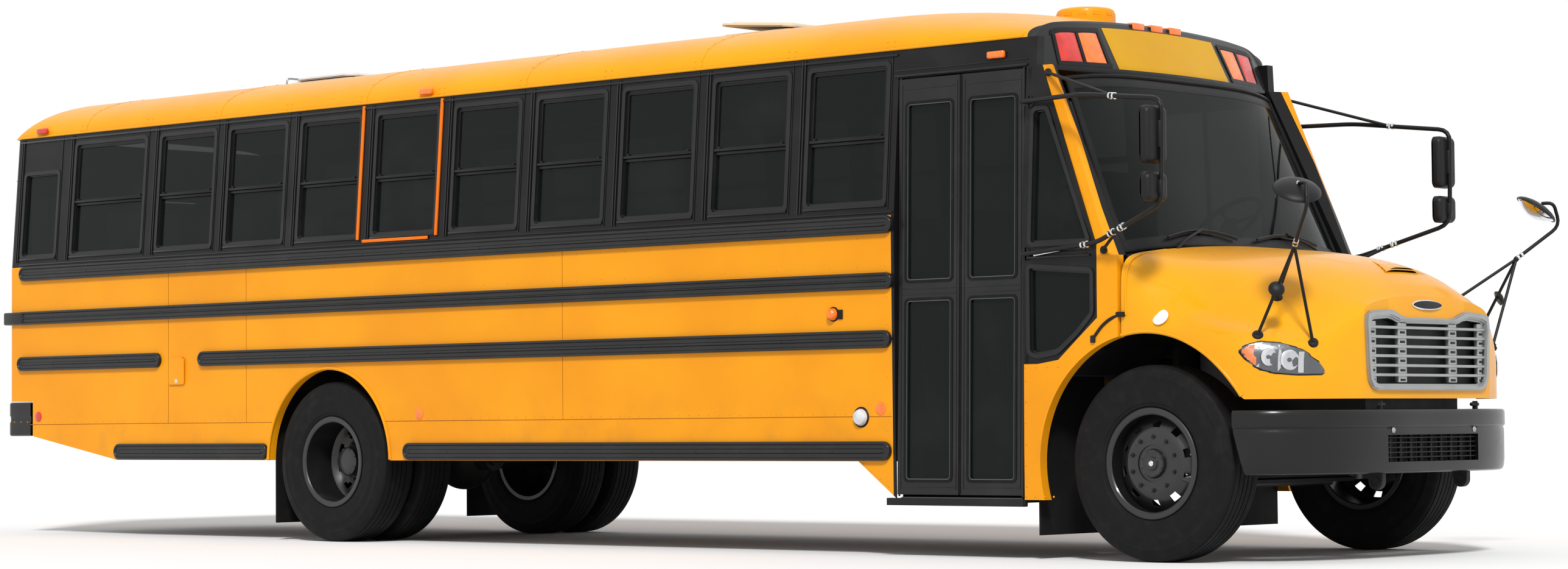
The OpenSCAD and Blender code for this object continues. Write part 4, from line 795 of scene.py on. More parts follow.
def cab_windows():
    for sign, tag in ((-1, "right"), (1, "left")):
        frames, glass, lines = meshes(3)
        outlines = [VENT, SILL] + ([DRIVER] if sign > 0 else [])
        for outline in outlines:
            soft = softened(outline)
            ring(frames, grown(soft, 12), grown(soft, -12), "y", -24, 9)
            ring(frames, grown(soft, -10), grown(soft, -22), "y", -30, -6)
            plate(glass, grown(soft, -8), "y", -26, -20)
        block(frames, (-752, -335), (-1, 12), (1640, 1652), 3)
        block(frames, (-752, -320), (-1, 8), (1676, 1684), 3)
        if sign > 0:
            block(frames, (-1236, -1218), (-28, 3), (1712, 2628), 3)
        for x in (-784, -772):
            block(lines, (x, x + 5), (-1, 4), (1070, 2690), 1)
        for bm in (frames, glass, lines):
            lean(bm, sign)
        piece(f"cab_window_frames_{tag}", frames, frame_black)
        piece(f"cab_glass_{tag}", glass, window_glass)
        piece(f"cab_post_lines_{tag}", lines, trim)


cab_windows()


# ---------- rub rails ----------
def stadium(x0, x1, z0, z1, n=8):
    r = (z1 - z0) / 2
    points = []
    for cx, start in ((x1 - r, -90), (x0 + r, 90)):
        for i in range(n + 1):
            a = math.radians(start + 180 * i / n)
            points.append((cx + r * math.cos(a), z0 + r + r * math.sin(a)))
    return points


def rub_rails():
    bm, bolts = meshes(2)
    fuel_x = -WHEELBASE - 1578
    rows = [(REAR + 152, -1715, 1822, 1925), (REAR + 130, -1715, 1507, 1602),
            (REAR + 130, fuel_x - 176, 1174, 1276),
            (fuel_x + 242, -1732, 1174, 1276), (REAR + 1268, -WHEELBASE - 609, 538, 648),
            (-WHEELBASE + 751, -1740, 538, 648)]
    for x0, x1, z0, z1 in rows:
        outline = stadium(x0, x1, z0, z1)
        _, top = plate(bm, outline, "y", HALF, HALF + 27, bevel=7, segments=3)
        face = max(top, key=lambda f: f.calc_area())
        for inset, depth in ((7, 0), (6, -9), (20, 0), (5, 7)):
            bmesh.ops.inset_region(bm, faces=[face], thickness=inset / 1000, use_even_offset=True)
            bmesh.ops.translate(bm, vec=(0, depth / 1000, 0), verts=face.verts)
        n = max(2, round((x1 - x0) / 380))
        for i in range(n + 1):
            x = mix(x0 + 60, x1 - 60, i / n)
            rivet(bolts, at(x, HALF + 25, (z0 + z1) / 2), (0, 1, 0), 0.007)
    block(bm, (REAR - 27, REAR + 200), (HALF, HALF + 28), (1509, 1600), 12, 3)
    block(bm, (REAR - 27, REAR), (550, HALF + 10), (1509, 1600), 12, 3)
    mirrored(bm)
    mirrored(bolts)
    piece("rub_rails_fluted", bm, rail_black, replaces=["rub_rails"])
    piece("rub_rail_bolts", bolts, rail_black, sharp=80)


rub_rails()


# ---------- body panels: seams and rivets ----------
def body_seams():
    lines, rivets = meshes(2)
    for sign in (1, -1):
        y0, y1 = sorted((sign * HALF, sign * (HALF + 1.2)))
        for x0, x1 in ((REAR + 60, -WHEELBASE - 545), (-WHEELBASE + 545, -1740)):
            # a thin strip in the painted seam shadow colour along the skirt's lap; the upright strips below
            # carry it too
            block(lines, (x0, x1), (y0, y1), (786, 790))
            n = round((x1 - x0) / 82)
            for i in range(n + 1):
                rivet(rivets, at(mix(x0 + 12, x1 - 12, i / n), sign * HALF, 806), (0, sign, 0), 0.0055)
        for x in (-4380, -7420, -8260):
            block(lines, (x, x + 3), (y0, y1), (790, 1822))
        for z in (1640, 1800):
            n = 40
            for i in range(n + 1):
                rivet(rivets, at(mix(REAR + 100, -1780, i / n), sign * HALF, z), (0, sign, 0), 0.0045)
        for x0, x1, z in ((-785, -600, 345), (-785, -560, 1048)):
            for i in range(4):
                rivet(rivets, at(mix(x0, x1, i / 3), sign * HALF, z), (0, sign, 0), 0.007)
        for i in range(6):
            rivet(rivets, at(-782, sign * HALF, 400 + i * 115), (0, sign, 0), 0.007)
        for i in range(8):
            rivet(rivets, at(-1770, sign * HALF, 560 + i * 150), (0, sign, 0), 0.005)
    for i in range(4):
        rivet(rivets, at(-1950 + i * 62, -HALF, 520 - i * 42), (0, -1, 0), 0.006)
    piece("panel_seams", lines, seam_shadow_brown)
    piece("panel_rivets", rivets, yellow, sharp=80)
    stripes = bmesh.new()
    for sign in (1, -1):
        part = bmesh.new()
        for x in (-6283, -5528):
            block(part, (x - 11, x + 11), (0.5, 11), (1972, 2852), 1.5)
        lean(part, sign)
        block(part, (-6230, -5600), span(sign, HALF + 0.5, HALF + 9), (1951, 1971),
              1.5)
        mesh = bpy.data.meshes.new("part")
        part.to_mesh(mesh)
        part.free()
        stripes.from_mesh(mesh)
        bpy.data.meshes.remove(mesh)
    piece("exit_stripes", stripes, orange)


body_seams()


def wheel_arches():
    """Rolled lips round the rear wheel arches."""
    bm = bmesh.new()
    for sign in (1, -1):
        points = [(-WHEELBASE + 610 * math.cos(a), sign * (HALF + 2), 530 + 610 * math.sin(a))
                  for a in (math.radians(1 + 178 * i / 40) for i in range(41))]
        rod(bm, points, 11, sides=10)
    piece("rear_arch_lips", bm, yellow)


wheel_arches()


# ---------- front cap with its lamps and sign ----------
def cap_low(y):
    return Vector((-585 - 130 * (y / 1000) ** 2, y, 2702))


def cap_top(y):
    z = 2998 - 45 * (y / 1000) ** 2 - 110 * (max(0, abs(y) - 900) / 230) ** 2
    return Vector((max(-797, -764 - 26 * (y / 1000) ** 4), y, z))


def cap_face(y, t, out=0.0):
    """A point of the cap's leaning front, t from its lower edge to its upper one, moved out along it."""
    p = cap_low(y).lerp(cap_top(y), t)
    a, b = cap_low(y + 1).lerp(cap_top(y + 1), t), cap_low(y).lerp(cap_top(y), min(1, t) + 0.01)
    n = (a - p).cross(b - p).normalized()
    if n.x < 0:
        n = -n
    p += n * out
    return at(*p)


def front_cap():
    bm = bmesh.new()
    n = 64

    def row_point(u, k):
        c = math.cos(math.pi * u)
        roof = arch(-799.7, u)
        face_y = 1130 * c
        if k == 0:
            return at(-799.7, 1150 * c, 2702)
        if k == 1:
            return at(*cap_low(face_y))
        if k == 2:
            return at(*cap_top(face_y))
        if k == 3:
            return at(*cap_top(face_y)).lerp(roof, 0.5) + Vector((0.006, 0, 0.01 * math.sin(math.pi * u)))
        return roof
    rows = [0, 1, 2, 3, 4, 0]
    verts = bmesh.ops.create_grid(bm, x_segments=5, y_segments=n, size=0.5)["verts"]
    for v in verts:
        v.co = row_point(v.co.y + 0.5, rows[round((v.co.x + 0.5) * 5)])
    bmesh.ops.remove_doubles(bm, verts=bm.verts, dist=1e-5)
    bmesh.ops.holes_fill(bm, edges=[e for e in bm.edges if len(e.link_faces) == 1], sides=0)
    bmesh.ops.recalc_face_normals(bm, faces=bm.faces)
    tops = [at(*cap_top(1130 * math.cos(math.pi * i / n))) for i in range(n + 1)]
    lows = [at(*cap_low(1130 * math.cos(math.pi * i / n))) for i in range(n + 1)]
    rim = [e for e in bm.edges if all(min((v.co - p).length for p in tops + lows) < 1e-4 for v in e.verts)
           and (e.verts[0].co - e.verts[1].co).length < 0.09]
    bmesh.ops.bevel(bm, geom=rim, offset=0.018, offset_type="OFFSET", affect="EDGES", segments=4, profile=0.5,
                    material=-1, clamp_overlap=True)
    piece("front_cap_shell", bm, cap_black, sharp=50, replaces=["front_cap"])

    def panel(bm, y0, y1, t0, t1, out, thick, skew=0.0, crown_out=0.0, nu=12, nv=6, ink=0):
        def shape(u, v):
            y = mix(y0, y1, u) - skew * math.copysign(1, y0 + y1) * v
            bulge = crown_out * (1 - (2 * u - 1) ** 4) * (1 - (2 * v - 1) ** 4)
            return cap_face(y, mix(t0, t1, v), out + bulge)
        patch(bm, shape, nu, nv, thickness=thick, ink=ink)

    bezels, ambers, reds = meshes(3)
    for s in (1, -1):
        for y0, y1, t0, t1 in ((s * 590, s * 985, 0.06, 0.14), (s * 590, s * 985, 0.80, 0.88),
                               (s * 590, s * 612, 0.08, 0.86), (s * 962, s * 985, 0.08, 0.86),
                               (s * 776, s * 796, 0.10, 0.84)):
            panel(bezels, y0, y1, t0, t1, 7, 9, skew=12)
        panel(ambers, s * 618, s * 772, 0.135, 0.81, 2, 7, skew=12, crown_out=7, nu=14, nv=12)
        panel(reds, s * 800, s * 957, 0.135, 0.81, 2, 7, skew=12, crown_out=7, nu=14, nv=12)
    for y in (-180, 0, 180):
        block(bezels, (-800, -752), (y - 66, y + 66), (2962, 3004), 8, 3)
        block(ambers, (-798, -745), (y - 56, y + 56), (2972, 3014), 9, 3)
    panel(bezels, -1050, 1050, -0.03, 0.035, 6, 10, nu=48, nv=2)
    piece("warning_lamp_bezels", bezels, trim)
    sign = bmesh.new()
    panel(sign, -535, 535, 0.05, 0.90, 3, 5, nu=40, nv=8)
    piece("sign_panel", sign, sign_yellow)
    for x in (REAR + 340, -5668, -1005):
        finish = reds if x < -9000 else ambers
        for s in (1, -1):
            y = sorted((s * (wall_y(2800) + 2), s * (wall_y(2800) + 30)))
            z = (2886, 2926) if x < -2000 else (2760, 2800)
            block(finish, (x - 60, x + 60), tuple(y), z, 10, 3)
    return ambers, reds


ambers, reds = front_cap()


# ---------- body lamps ----------
def body_lamps():
    cases, whites = meshes(2)

    def disc(bm, x, z, r, out, s, base=HALF, rim=True):
        lathe(bm, [(0, out), (r * 0.55, out * 0.94), (r * 0.82, out * 0.72), (r * 0.97, out * 0.3),
                   (r * 0.97, -4), (0, -4)],
              at(x, s * base, z), (0, s, 0), 28)
        if rim:
            lathe(cases, [(r * 0.95, 4), (r * 1.12, 5), (r * 1.2, 0), (r * 1.2, -3), (r * 0.95, -3)],
                  at(x, s * base, z), (0, s, 0), 28, closed=True)
    for s in (1, -1):
        disc(reds, REAR + 363, 844, 38, 10, s, rim=False)
        disc(ambers, -5686, 834, 38, 10, s, rim=False)
        disc(ambers, -1818, 833, 38, 10, s, rim=False)
        disc(ambers, -2168, 1375, 36, 40, s)
        block(cases, (-2205, -2095), span(s, HALF, HALF + 8), (1345, 1400), 4)
    disc(whites, -1966, 785, 50, 34, -1)
    for s in (1, -1):
        for y, z, r, kind in ((818, 1230, 84, reds), (1028, 1230, 84, ambers), (1028, 1420, 52, whites),
                              (598, 2640, 84, ambers), (818, 2640, 84, reds)):
            centre = at(REAR, s * y, z)
            lathe(kind, [(0, 24), (r * 0.5, 22.5), (r * 0.8, 17), (r * 0.94, 8), (r * 0.94, -2), (0, -2)],
                  centre, (-1, 0, 0), 36)
            lathe(cases, [(r * 0.92, 10), (r * 0.98, 16), (r * 1.06, 14), (r * 1.1, -1), (r * 0.92, -1)],
                  centre, (-1, 0, 0), 36,
                  closed=True)
    piece("lamp_cases", cases, trim)
    piece("white_lamps", whites, clear)
    piece("amber_lamps", ambers, amber, replaces=["body_lamps"])
    piece("red_lamps", reds, red)


body_lamps()


# ---------- windshield, its surround and wipers ----------
LEAN = math.radians(25.3)
GLASS_LEN = (2685 - 1700) / math.cos(LEAN)


def screen(y, s, depth=0.0):
    """A point of the windshield: y across, s up along the glass, depth behind its outer curve."""
    local = -112 * (abs(y) / 1050) ** 4 - depth
    return Vector((-110 + local * math.cos(LEAN) - s * math.sin(LEAN), y,
                   1700 + local * math.sin(LEAN) + s * math.cos(LEAN)))


def screen_half(s):
    return min(1060, 1082 - s * math.tan(math.radians(4.6)))


def windshield():
    bm, border, seal, wipers = meshes(4)

    def glass_point(u, v, depth, s0=15, s1=GLASS_LEN - 15, y0=-1, y1=1):
        s = mix(s0, s1, v)
        return at(*screen(screen_half(s) * mix(y0, y1, u), s, depth))
    patch(bm, lambda u, v: glass_point(u, v, 8), 60, 24, thickness=5)
    piece("windshield_glass", bm, screen_glass, sharp=60)
    for y0, y1, s0, s1 in ((-1, 1, GLASS_LEN - 75, GLASS_LEN - 12), (-1, 1, 8, 80),
                           (-1, -0.965, 70, GLASS_LEN - 60),
                           (0.965, 1, 70, GLASS_LEN - 60)):
        patch(border, lambda u, v: glass_point(u, v, 6.5, s0, s1, y0, y1), 40 if y1 - y0 > 1 else 2,
              2 if y1 - y0 > 1 else 24,
              thickness=1.2)
    piece("windshield_border", border, trim)
    edge = [screen(screen_half(s) * k, s, 4) for k, s in
            [(-1, GLASS_LEN - 12 - i * (GLASS_LEN - 24) / 16) for i in range(17)]
            + [(-1 + 2 * i / 24, 12) for i in range(1, 24)] + [(1,
                    12 + i * (GLASS_LEN - 24) / 16) for i in range(17)]
            + [(1 - 2 * i / 24, GLASS_LEN - 12) for i in range(1, 24)]]
    rod(seal, edge + [edge[0]], 9, sides=8)
    piece("windshield_seal", seal, seal_rubber)
    for y0, y1, hub in ((-760, -140, -760), (60, 690, 730)):
        blade = [screen(mix(y0, y1, t), 62 + 40 * math.sin(math.pi * t),
                        -14) for t in (i / 10 for i in range(11))]
        rod(wipers, blade, 7, sides=8)
        rod(wipers, [tuple(p + Vector((2, 0, -9))) for p in blade], 4, sides=6)
        middle = screen((y0 + y1) / 2, 104, -24)
        rod(wipers, [screen(hub, -30, -20), screen(mix(hub, (y0 + y1) / 2, 0.4), 40, -30), middle], 8,
            bend=60, sides=8)
        lathe(wipers, [(0, 16), (18, 14), (22, -20), (0, -20)], at(*screen(hub, -30, -16)), (0.4, 0, 0.9), 16)
    piece("wipers", wipers, plastic)


windshield()


# ---------- hood ----------
HOOD = [[(-148, 1203, 860), (-148, 1203, 1300), (-148, 1198, 1500), (-148, 1175, 1590), (-144, 1090, 1645),
         (-120, 850, 1678), (-100, 450, 1706), (-92, 0, 1718)],
        [(100, 1215, 860), (100, 1213, 1190), (100, 1190, 1295), (100, 1130, 1410), (100, 1050, 1530),
         (100, 850, 1620), (100, 450, 1680), (100, 0, 1700)],
        [(350, 1215, 860), (350, 1213, 1140), (350, 1175, 1245), (350, 1075, 1320), (350, 970, 1450),
         (350, 800, 1565), (350, 430, 1650), (350, 0, 1674)],
        [(600, 1182, 860), (600, 1180, 1090), (600, 1130, 1195), (600, 1020, 1255), (600, 900, 1385),
         (600, 720, 1505), (600, 400, 1600), (600, 0, 1630)],
        [(800, 1035, 860), (800, 1033, 1060), (800, 1000, 1150), (800, 925, 1205), (800, 810, 1310),
         (800, 660, 1425), (800, 380, 1535), (800, 0, 1568)],
        [(930, 835, 860), (930, 835, 1050), (930, 822, 1145), (930, 790, 1215), (930, 725, 1290),
         (930, 620, 1375), (930, 350, 1462), (930, 0, 1490)],
        [(1000, 640, 860), (1000, 650, 1000), (1000, 655, 1120), (1000, 652, 1220), (1000, 640, 1300),
         (1000, 560, 1358), (1000, 320, 1396), (1000, 0, 1404)]]


def bend_through(points, t):
    """A smooth curve through points, t from 0 to their count less one."""
    i = min(int(t), len(points) - 2)
    f = t - i
    p1, p2 = points[i], points[i + 1]
    p0 = points[i - 1] if i else p1 * 2 - p2
    p3 = points[i + 2] if i + 2 < len(points) else p2 * 2 - p1
    m1, m2 = (p2 - p0) * 0.5, (p3 - p1) * 0.5
    if i + 2 >= len(points):
        m2 = p2 - p1
    return (p1 * (2 * f ** 3 - 3 * f ** 2 + 1) + m1 * (f ** 3 - 2 * f ** 2 + f)
            + p2 * (3 * f ** 2 - 2 * f ** 3) + m2 * (f ** 3 - f ** 2))


NET = [[Vector(p) for p in row] for row in HOOD]
ARCH_R = 690


def hood_section(u):
    """The hood's half section at u along its stations, its lower edge cut by the wheel arch."""
    row = [bend_through([NET[k][j] for k in range(7)], u) for j in range(8)]
    row = row + [Vector((row[6].x, -row[6].y, row[6].z))]
    curve = [bend_through(row, i * 7 / 84) for i in range(85)]
    x = curve[0].x
    low = 860 if abs(x) >= ARCH_R else max(860, 530 + math.sqrt(ARCH_R ** 2 - x ** 2))
    start = next(i for i, p in enumerate(curve) if p.z >= low - 1e-6)
    if start:
        a, b = curve[start - 1], curve[start]
        curve = [a.lerp(b, (low - a.z) / (b.z - a.z))] + curve[start:]
    lengths = [0]
    for a, b in zip(curve, curve[1:]):
        lengths.append(lengths[-1] + (b - a).length)
    return curve, lengths


def along(section, t):
    curve, lengths = section
    want = lengths[-1] * t
    for i in range(len(curve) - 1):
        if lengths[i + 1] >= want:
            return curve[i].lerp(curve[i + 1], (want - lengths[i]) / max(1e-9, lengths[i + 1] - lengths[i]))
    return curve[-1]


HOOD_STEPS = 96
SECTIONS = [hood_section(6 * i / HOOD_STEPS) for i in range(HOOD_STEPS + 1)]


def hood_at(u, v):
    """A point of the hood, u from the cowl to the nose and v from the right edge over to the left edge."""
    section = SECTIONS[round(u * HOOD_STEPS)]
    p = along(section, 1 - abs(2 * v - 1))
    return Vector((p.x, -p.y if v < 0.5 else p.y, p.z))


def hood_surface(x, side_y):
    """The hood's height at a place seen from above."""
    section = min(SECTIONS, key=lambda c: abs(c[0][-1].x - x))
    curve = section[0]
    for a, b in zip(curve, curve[1:]):
        if b.y <= abs(side_y) <= a.y:
            return a.lerp(b, (a.y - abs(side_y)) / max(1e-9, a.y - b.y)).z
    return curve[-1].z


GRILLE_OUT = [(-540, 903), (-585, 918), (-607, 960), (-628, 1290), (-610, 1318), (-380, 1333), (-330, 1320),
              (-250, 1290), (250, 1290), (330, 1320), (380, 1333), (610, 1318), (628, 1290), (607, 960),
              (585, 918),
              (540, 903)]
GRILLE_IN = [(-520, 935), (-560, 965), (-582, 1275), (-380, 1288), (-300, 1262), (300, 1262), (380, 1288),
             (582, 1275),
             (560, 965), (520, 935)]


def hood_shell():
    bm = bmesh.new()
    verts = bmesh.ops.create_grid(bm, x_segments=HOOD_STEPS, y_segments=112, size=0.5)["verts"]
    for v in verts:
        u, w = v.co.x + 0.5, v.co.y + 0.5
        v.co = at(*hood_at(u, w))
    # the nose panel, with the grille's opening in it
    nose = [v for v in verts if abs(v.co.x - AXLE - 1.0) < 1e-5]
    rim = [e for e in bm.edges if len(e.link_faces) == 1 and all(v in nose for v in e.verts)]
    corners = sorted((v for v in nose if v.co.z < 0.8605), key=lambda v: v.co.y)
    base = bm.edges.new((corners[0], corners[-1]))
    hole = [bm.verts.new(at(1000, y, z)) for y, z in softened(GRILLE_IN, 30)]
    cut = [bm.edges.new((hole[i], hole[(i + 1) % len(hole)])) for i in range(len(hole))]
    bmesh.ops.triangle_fill(bm, use_beauty=True, use_dissolve=False, edges=rim + [base] + cut)
    wall = bmesh.ops.extrude_edge_only(bm, edges=cut)["geom"]
    bmesh.ops.translate(bm, vec=(-0.05, 0, 0), verts=[g for g in wall if isinstance(g, bmesh.types.BMVert)])
    bmesh.ops.recalc_face_normals(bm, faces=bm.faces)
    top = max(bm.faces, key=lambda f: f.calc_center_median().z)
    if top.normal.z < 0:
        bmesh.ops.reverse_faces(bm, faces=bm.faces[:])
    bmesh.ops.solidify(bm, geom=bm.faces[:], thickness=0.012)
    piece("hood_shell", bm, hood_yellow, body="hood", sharp=48, replaces=["hood"],
          recalc=False)


hood_shell()


def hood_details():
    lips, mouth_shade, whites, browns, chromes = meshes(5)
    edge = [s[0][0] for s in SECTIONS if -148 <= s[0][0].x <= 604]
    for s in (1, -1):
        rod(lips, [(p.x, s * (p.y - 2), p.z + 6) for p in edge[::2]], 11, sides=10)
        # raised seam from the cowl down to the arch
        seam = [(-118, s * (p.y + 1), p.z) for p in SECTIONS[1][0][4:56:4]]
        rod(lips, seam, 5, sides=8)
        # latch and its strap behind the arch
        latch = [(-140, s * 1208, 1322), (-205, s * 1222, 1300), (-262, s * 1224, 1262),
                 (-322, s * 1222, 1196)]
        rod(browns, latch, 9, bend=30, sides=8)
        block(browns, (-172, -118), span(s, 1206, 1224), (1306, 1334), 5)
        block(browns, (-336, -306), span(s, 1218, 1232), (1172, 1212), 5)
        lathe(whites, [(0, 7), (34, 5.5), (46, 2), (47, -3), (0, -3)], at(100, s * 1192, 1299),
              (0, s, 0.62), 32)
    # centre scoop: a low raised lip, with a dark sheet across its front as painted shade for the shaded mouth
    x0, w = 820, 170
    z = hood_surface(x0, 0)
    patch(lips, lambda u, v: at(mix(x0 - 130, x0 + 34, u), mix(-w, w, v) * (0.25 + 0.75 * u),
                                hood_surface(mix(x0 - 130, x0 + 34, u), 0) + 3
                                + 15 * u ** 1.5 * (1 - (2 * v - 1) ** 4)), 12, 16, thickness=4)
    patch(mouth_shade, lambda u, v: at(x0 + 30, mix(-w * 0.84, w * 0.84, u),
                                 z - 12 + 21 * v * (1 - (2 * u - 1) ** 4)), 16, 2,
          thickness=4)
    piece("fender_lips", lips, hood_yellow, body="hood")
    piece("scoop_mouth_shade", mouth_shade, trim, body="hood")
    piece("fender_discs", whites, white, body="hood")
    piece("hood_latches", browns, plastic)
    lathe(chromes, [(0, 8), (30, 8), (38, 6.5), (42, 3), (42, -5), (0, -5)], at(1000, 0, 1361),
          (1, 0, 0.1), 40)
    for v in chromes.verts:
        v.co.y *= 3.6
        v.co.z = mix(1.361, v.co.z, 0.7)
    piece("nose_badge", chromes, chrome, body="hood")
    centre = bmesh.new()
    lathe(centre, [(0, 10), (26, 9.5), (31, 8), (31, 2), (0, 2)], at(1000, 0, 1361), (1, 0, 0.1), 40)
    for v in centre.verts:
        v.co.y *= 4.55
        v.co.z = mix(1.361, v.co.z, 0.7)
    piece("nose_badge_face", centre, plastic, body="hood")


hood_details()


def grille():
    bm, core, slots = meshes(3)
    n = 64
    outer, mouth = softened(GRILLE_OUT, 26), softened(GRILLE_IN, 26)
    inner = grown(mouth, 8)

    def even(outline):
        pts = [Vector(p) for p in outline] + [Vector(outline[0])]
        total = sum((b - a).length for a, b in zip(pts, pts[1:]))
        made, i, walked = [], 0, 0.0
        for k in range(n):
            want = total * k / n
            while walked + (pts[i + 1] - pts[i]).length < want:
                walked += (pts[i + 1] - pts[i]).length
                i += 1
            made.append(tuple(pts[i].lerp(pts[i + 1], (want - walked) / (pts[i + 1] - pts[i]).length)))
        start = max(range(n), key=lambda k: -abs(made[k][0]) - (0 if made[k][1] < 1000 else 9999))
        return made[start:] + made[:start]
    ring(bm, even(outer), even(inner), "x", 1000.4, 1014)
    ring(bm, even(grown(outer, -8)), even(grown(inner, 9)), "x", 1010, 1021)
    ring(bm, even(grown(mouth, 10)), even(grown(mouth, -2)), "x", 1000.2, 1003)
    ring(slots, even(grown(mouth, 1)), even(grown(mouth, -5)), "x", 940, 1001.5)
    for i in range(6):
        z = 984 + i * 50.4
        block(bm, (980, 1013), (-574 - i * 1.5, 574 + i * 1.5), (z - 8, z + 8), 5, 3)
    for y, w in ((-550, 34), (-256, 42), (256, 42), (550, 34)):
        block(bm, (978, 1003), (y - w, y + w), (945, 1268), 4)
        for i in range(6):
            z = 1009 + i * 50.4 if i < 5 else 958
            block(slots, (998, 1004.5), (y - w * 0.62, y + w * 0.62), (z - 7, z + 7), 5, 3)
    piece("grille_satin", bm, satin, body="hood", replaces=["grille"], sharp=30)
    piece("grille_slots", slots, trim, body="hood")
    plate(core, grown(inner, 14), "x", 948, 956)
    piece("grille_screen", core, core_mesh, body="hood")


grille()


def headlamps():
    """Each lamp: a chromed bowl, two round reflectors, an amber corner and a clear cover."""
    tops = [(0, 1112), (40, 1146), (110, 1164), (220, 1154), (330, 1118), (420, 1050), (452, 1000)]
    bottoms = [(0, 1112), (30, 1066), (90, 1018), (170, 994), (300, 984), (440, 986), (452, 1000)]

    def edge_z(table, a):
        for (a0, z0), (a1, z1) in zip(table, table[1:]):
            if a <= a1:
                return mix(z0, z1, (a - a0) / (a1 - a0))
        return table[-1][1]

    def skin(a, z, out, s):
        """A point over the hood's corner: a runs forwards along the lamp."""
        base = Vector((610, 1205)) + Vector((math.cos(math.radians(48)), -math.sin(math.radians(48)))) * a
        across = Vector((math.sin(math.radians(48)), math.cos(math.radians(48))))
        best = None
        for section in SECTIONS[40:]:
            curve = section[0]
            for p, q in zip(curve, curve[1:]):
                if p.z <= z <= q.z and q.z > p.z:
                    hit = p.lerp(q, (z - p.z) / (q.z - p.z))
                    off = abs((Vector((hit.x, hit.y)) - base).dot(Vector((across.y, -across.x))))
                    if best is None or off < best[0]:
                        best = (off, hit)
                    break
        hit = best[1]
        move = across * out
        return at(hit.x + move.x, s * (hit.y + move.y), z)

    bowls, lenses, corners, rims, shine = meshes(5)
    for s in (1, -1):
        def cover(u, v, out, shrink=0.0):
            a = mix(4 + shrink, 448 - shrink, u)
            z0, z1 = edge_z(bottoms, a) + shrink, edge_z(tops, a) - shrink
            return skin(a, mix(min(z0, (z0 + z1) / 2), max(z1, (z0 + z1) / 2), v), out, s)
        patch(rims, lambda u, v: cover(u, v, 1.5), 40, 12, thickness=4)
        patch(bowls, lambda u, v: cover(u, v, 3.5, 7), 36, 12, thickness=2)
        patch(lenses, lambda u, v: cover(u, v, 13 + 5 * math.sin(math.pi * u) * math.sin(math.pi * v), 4),
              36, 12, thickness=3)
        for a, z, r in ((255, 1062, 50), (150, 1078, 44)):
            centre = skin(a, z, 4, s)
            axis = Vector((0.86, s * 0.5, 0))
            lathe(shine, [(0, -2), (r * 0.3, 3), (r * 0.8, 5), (r, 9), (r * 1.06, 7), (r * 1.06, -4),
                          (0, -4)], centre, axis, 28)
            lathe(bowls, [(0, 9), (r * 0.2, 8), (r * 0.24, 0), (0, 0)], centre, axis, 16)
        for a0, a1 in ((96, 104), (196, 206), (304, 330)):
            patch(shine, lambda u, v: skin(mix(a0, a1, u) + 16 * (v - 0.5), mix(edge_z(bottoms, a0) + 14,
                                                                                edge_z(tops, a1) - 14, v),
                                           9, s),
                  3, 8, thickness=3)
        patch(corners, lambda u, v: skin(mix(20, 78, u), mix(edge_z(bottoms, mix(20, 78, u)) + 12,
                                                            edge_z(tops, mix(20, 78, u)) - 12, v), 8, s),
              8, 6, thickness=3)
    piece("headlamp_rims", rims, trim, body="hood")
    piece("headlamp_bowls", bowls, bowl, body="hood", replaces=["headlamps"])
    piece("headlamp_reflectors", shine, chrome, body="hood")
    piece("headlamp_covers", lenses, cover_glass, body="hood")
    piece("headlamp_corners", corners, amber, body="hood")


bowl = metal("lamp_bowl", (0.13, 0.135, 0.145), 0.24, 60.0)
cover_glass = tinted_glass("headlamp_cover", 0.06, (0.3, 0.32, 0.34))
cover_glass.surface.inputs["Specular IOR Level"].default_value = 0.5
headlamps()


# ---------- bumpers ----------
BUMPER_HALF = HALF - 9


def bumper_run(t, inset, z):
    """A point of the front bumper's plan curve, t from -1 at the right end to 1 at the left end."""
    end = 612 - (z - 479) / (705 - 479) * 62 if z < 705 else 550
    reach = math.asin(min(1, (1 - min(1, ((end + 6 - 545) / 503)) ** 2) ** (1 / 3.2)))
    y = (BUMPER_HALF - inset) * math.sin(t * reach)
    x = 545 + (503 - inset) * math.sqrt(max(0, 1 - abs(y / (BUMPER_HALF - inset)) ** 3.2))
    return at(x, y, z)


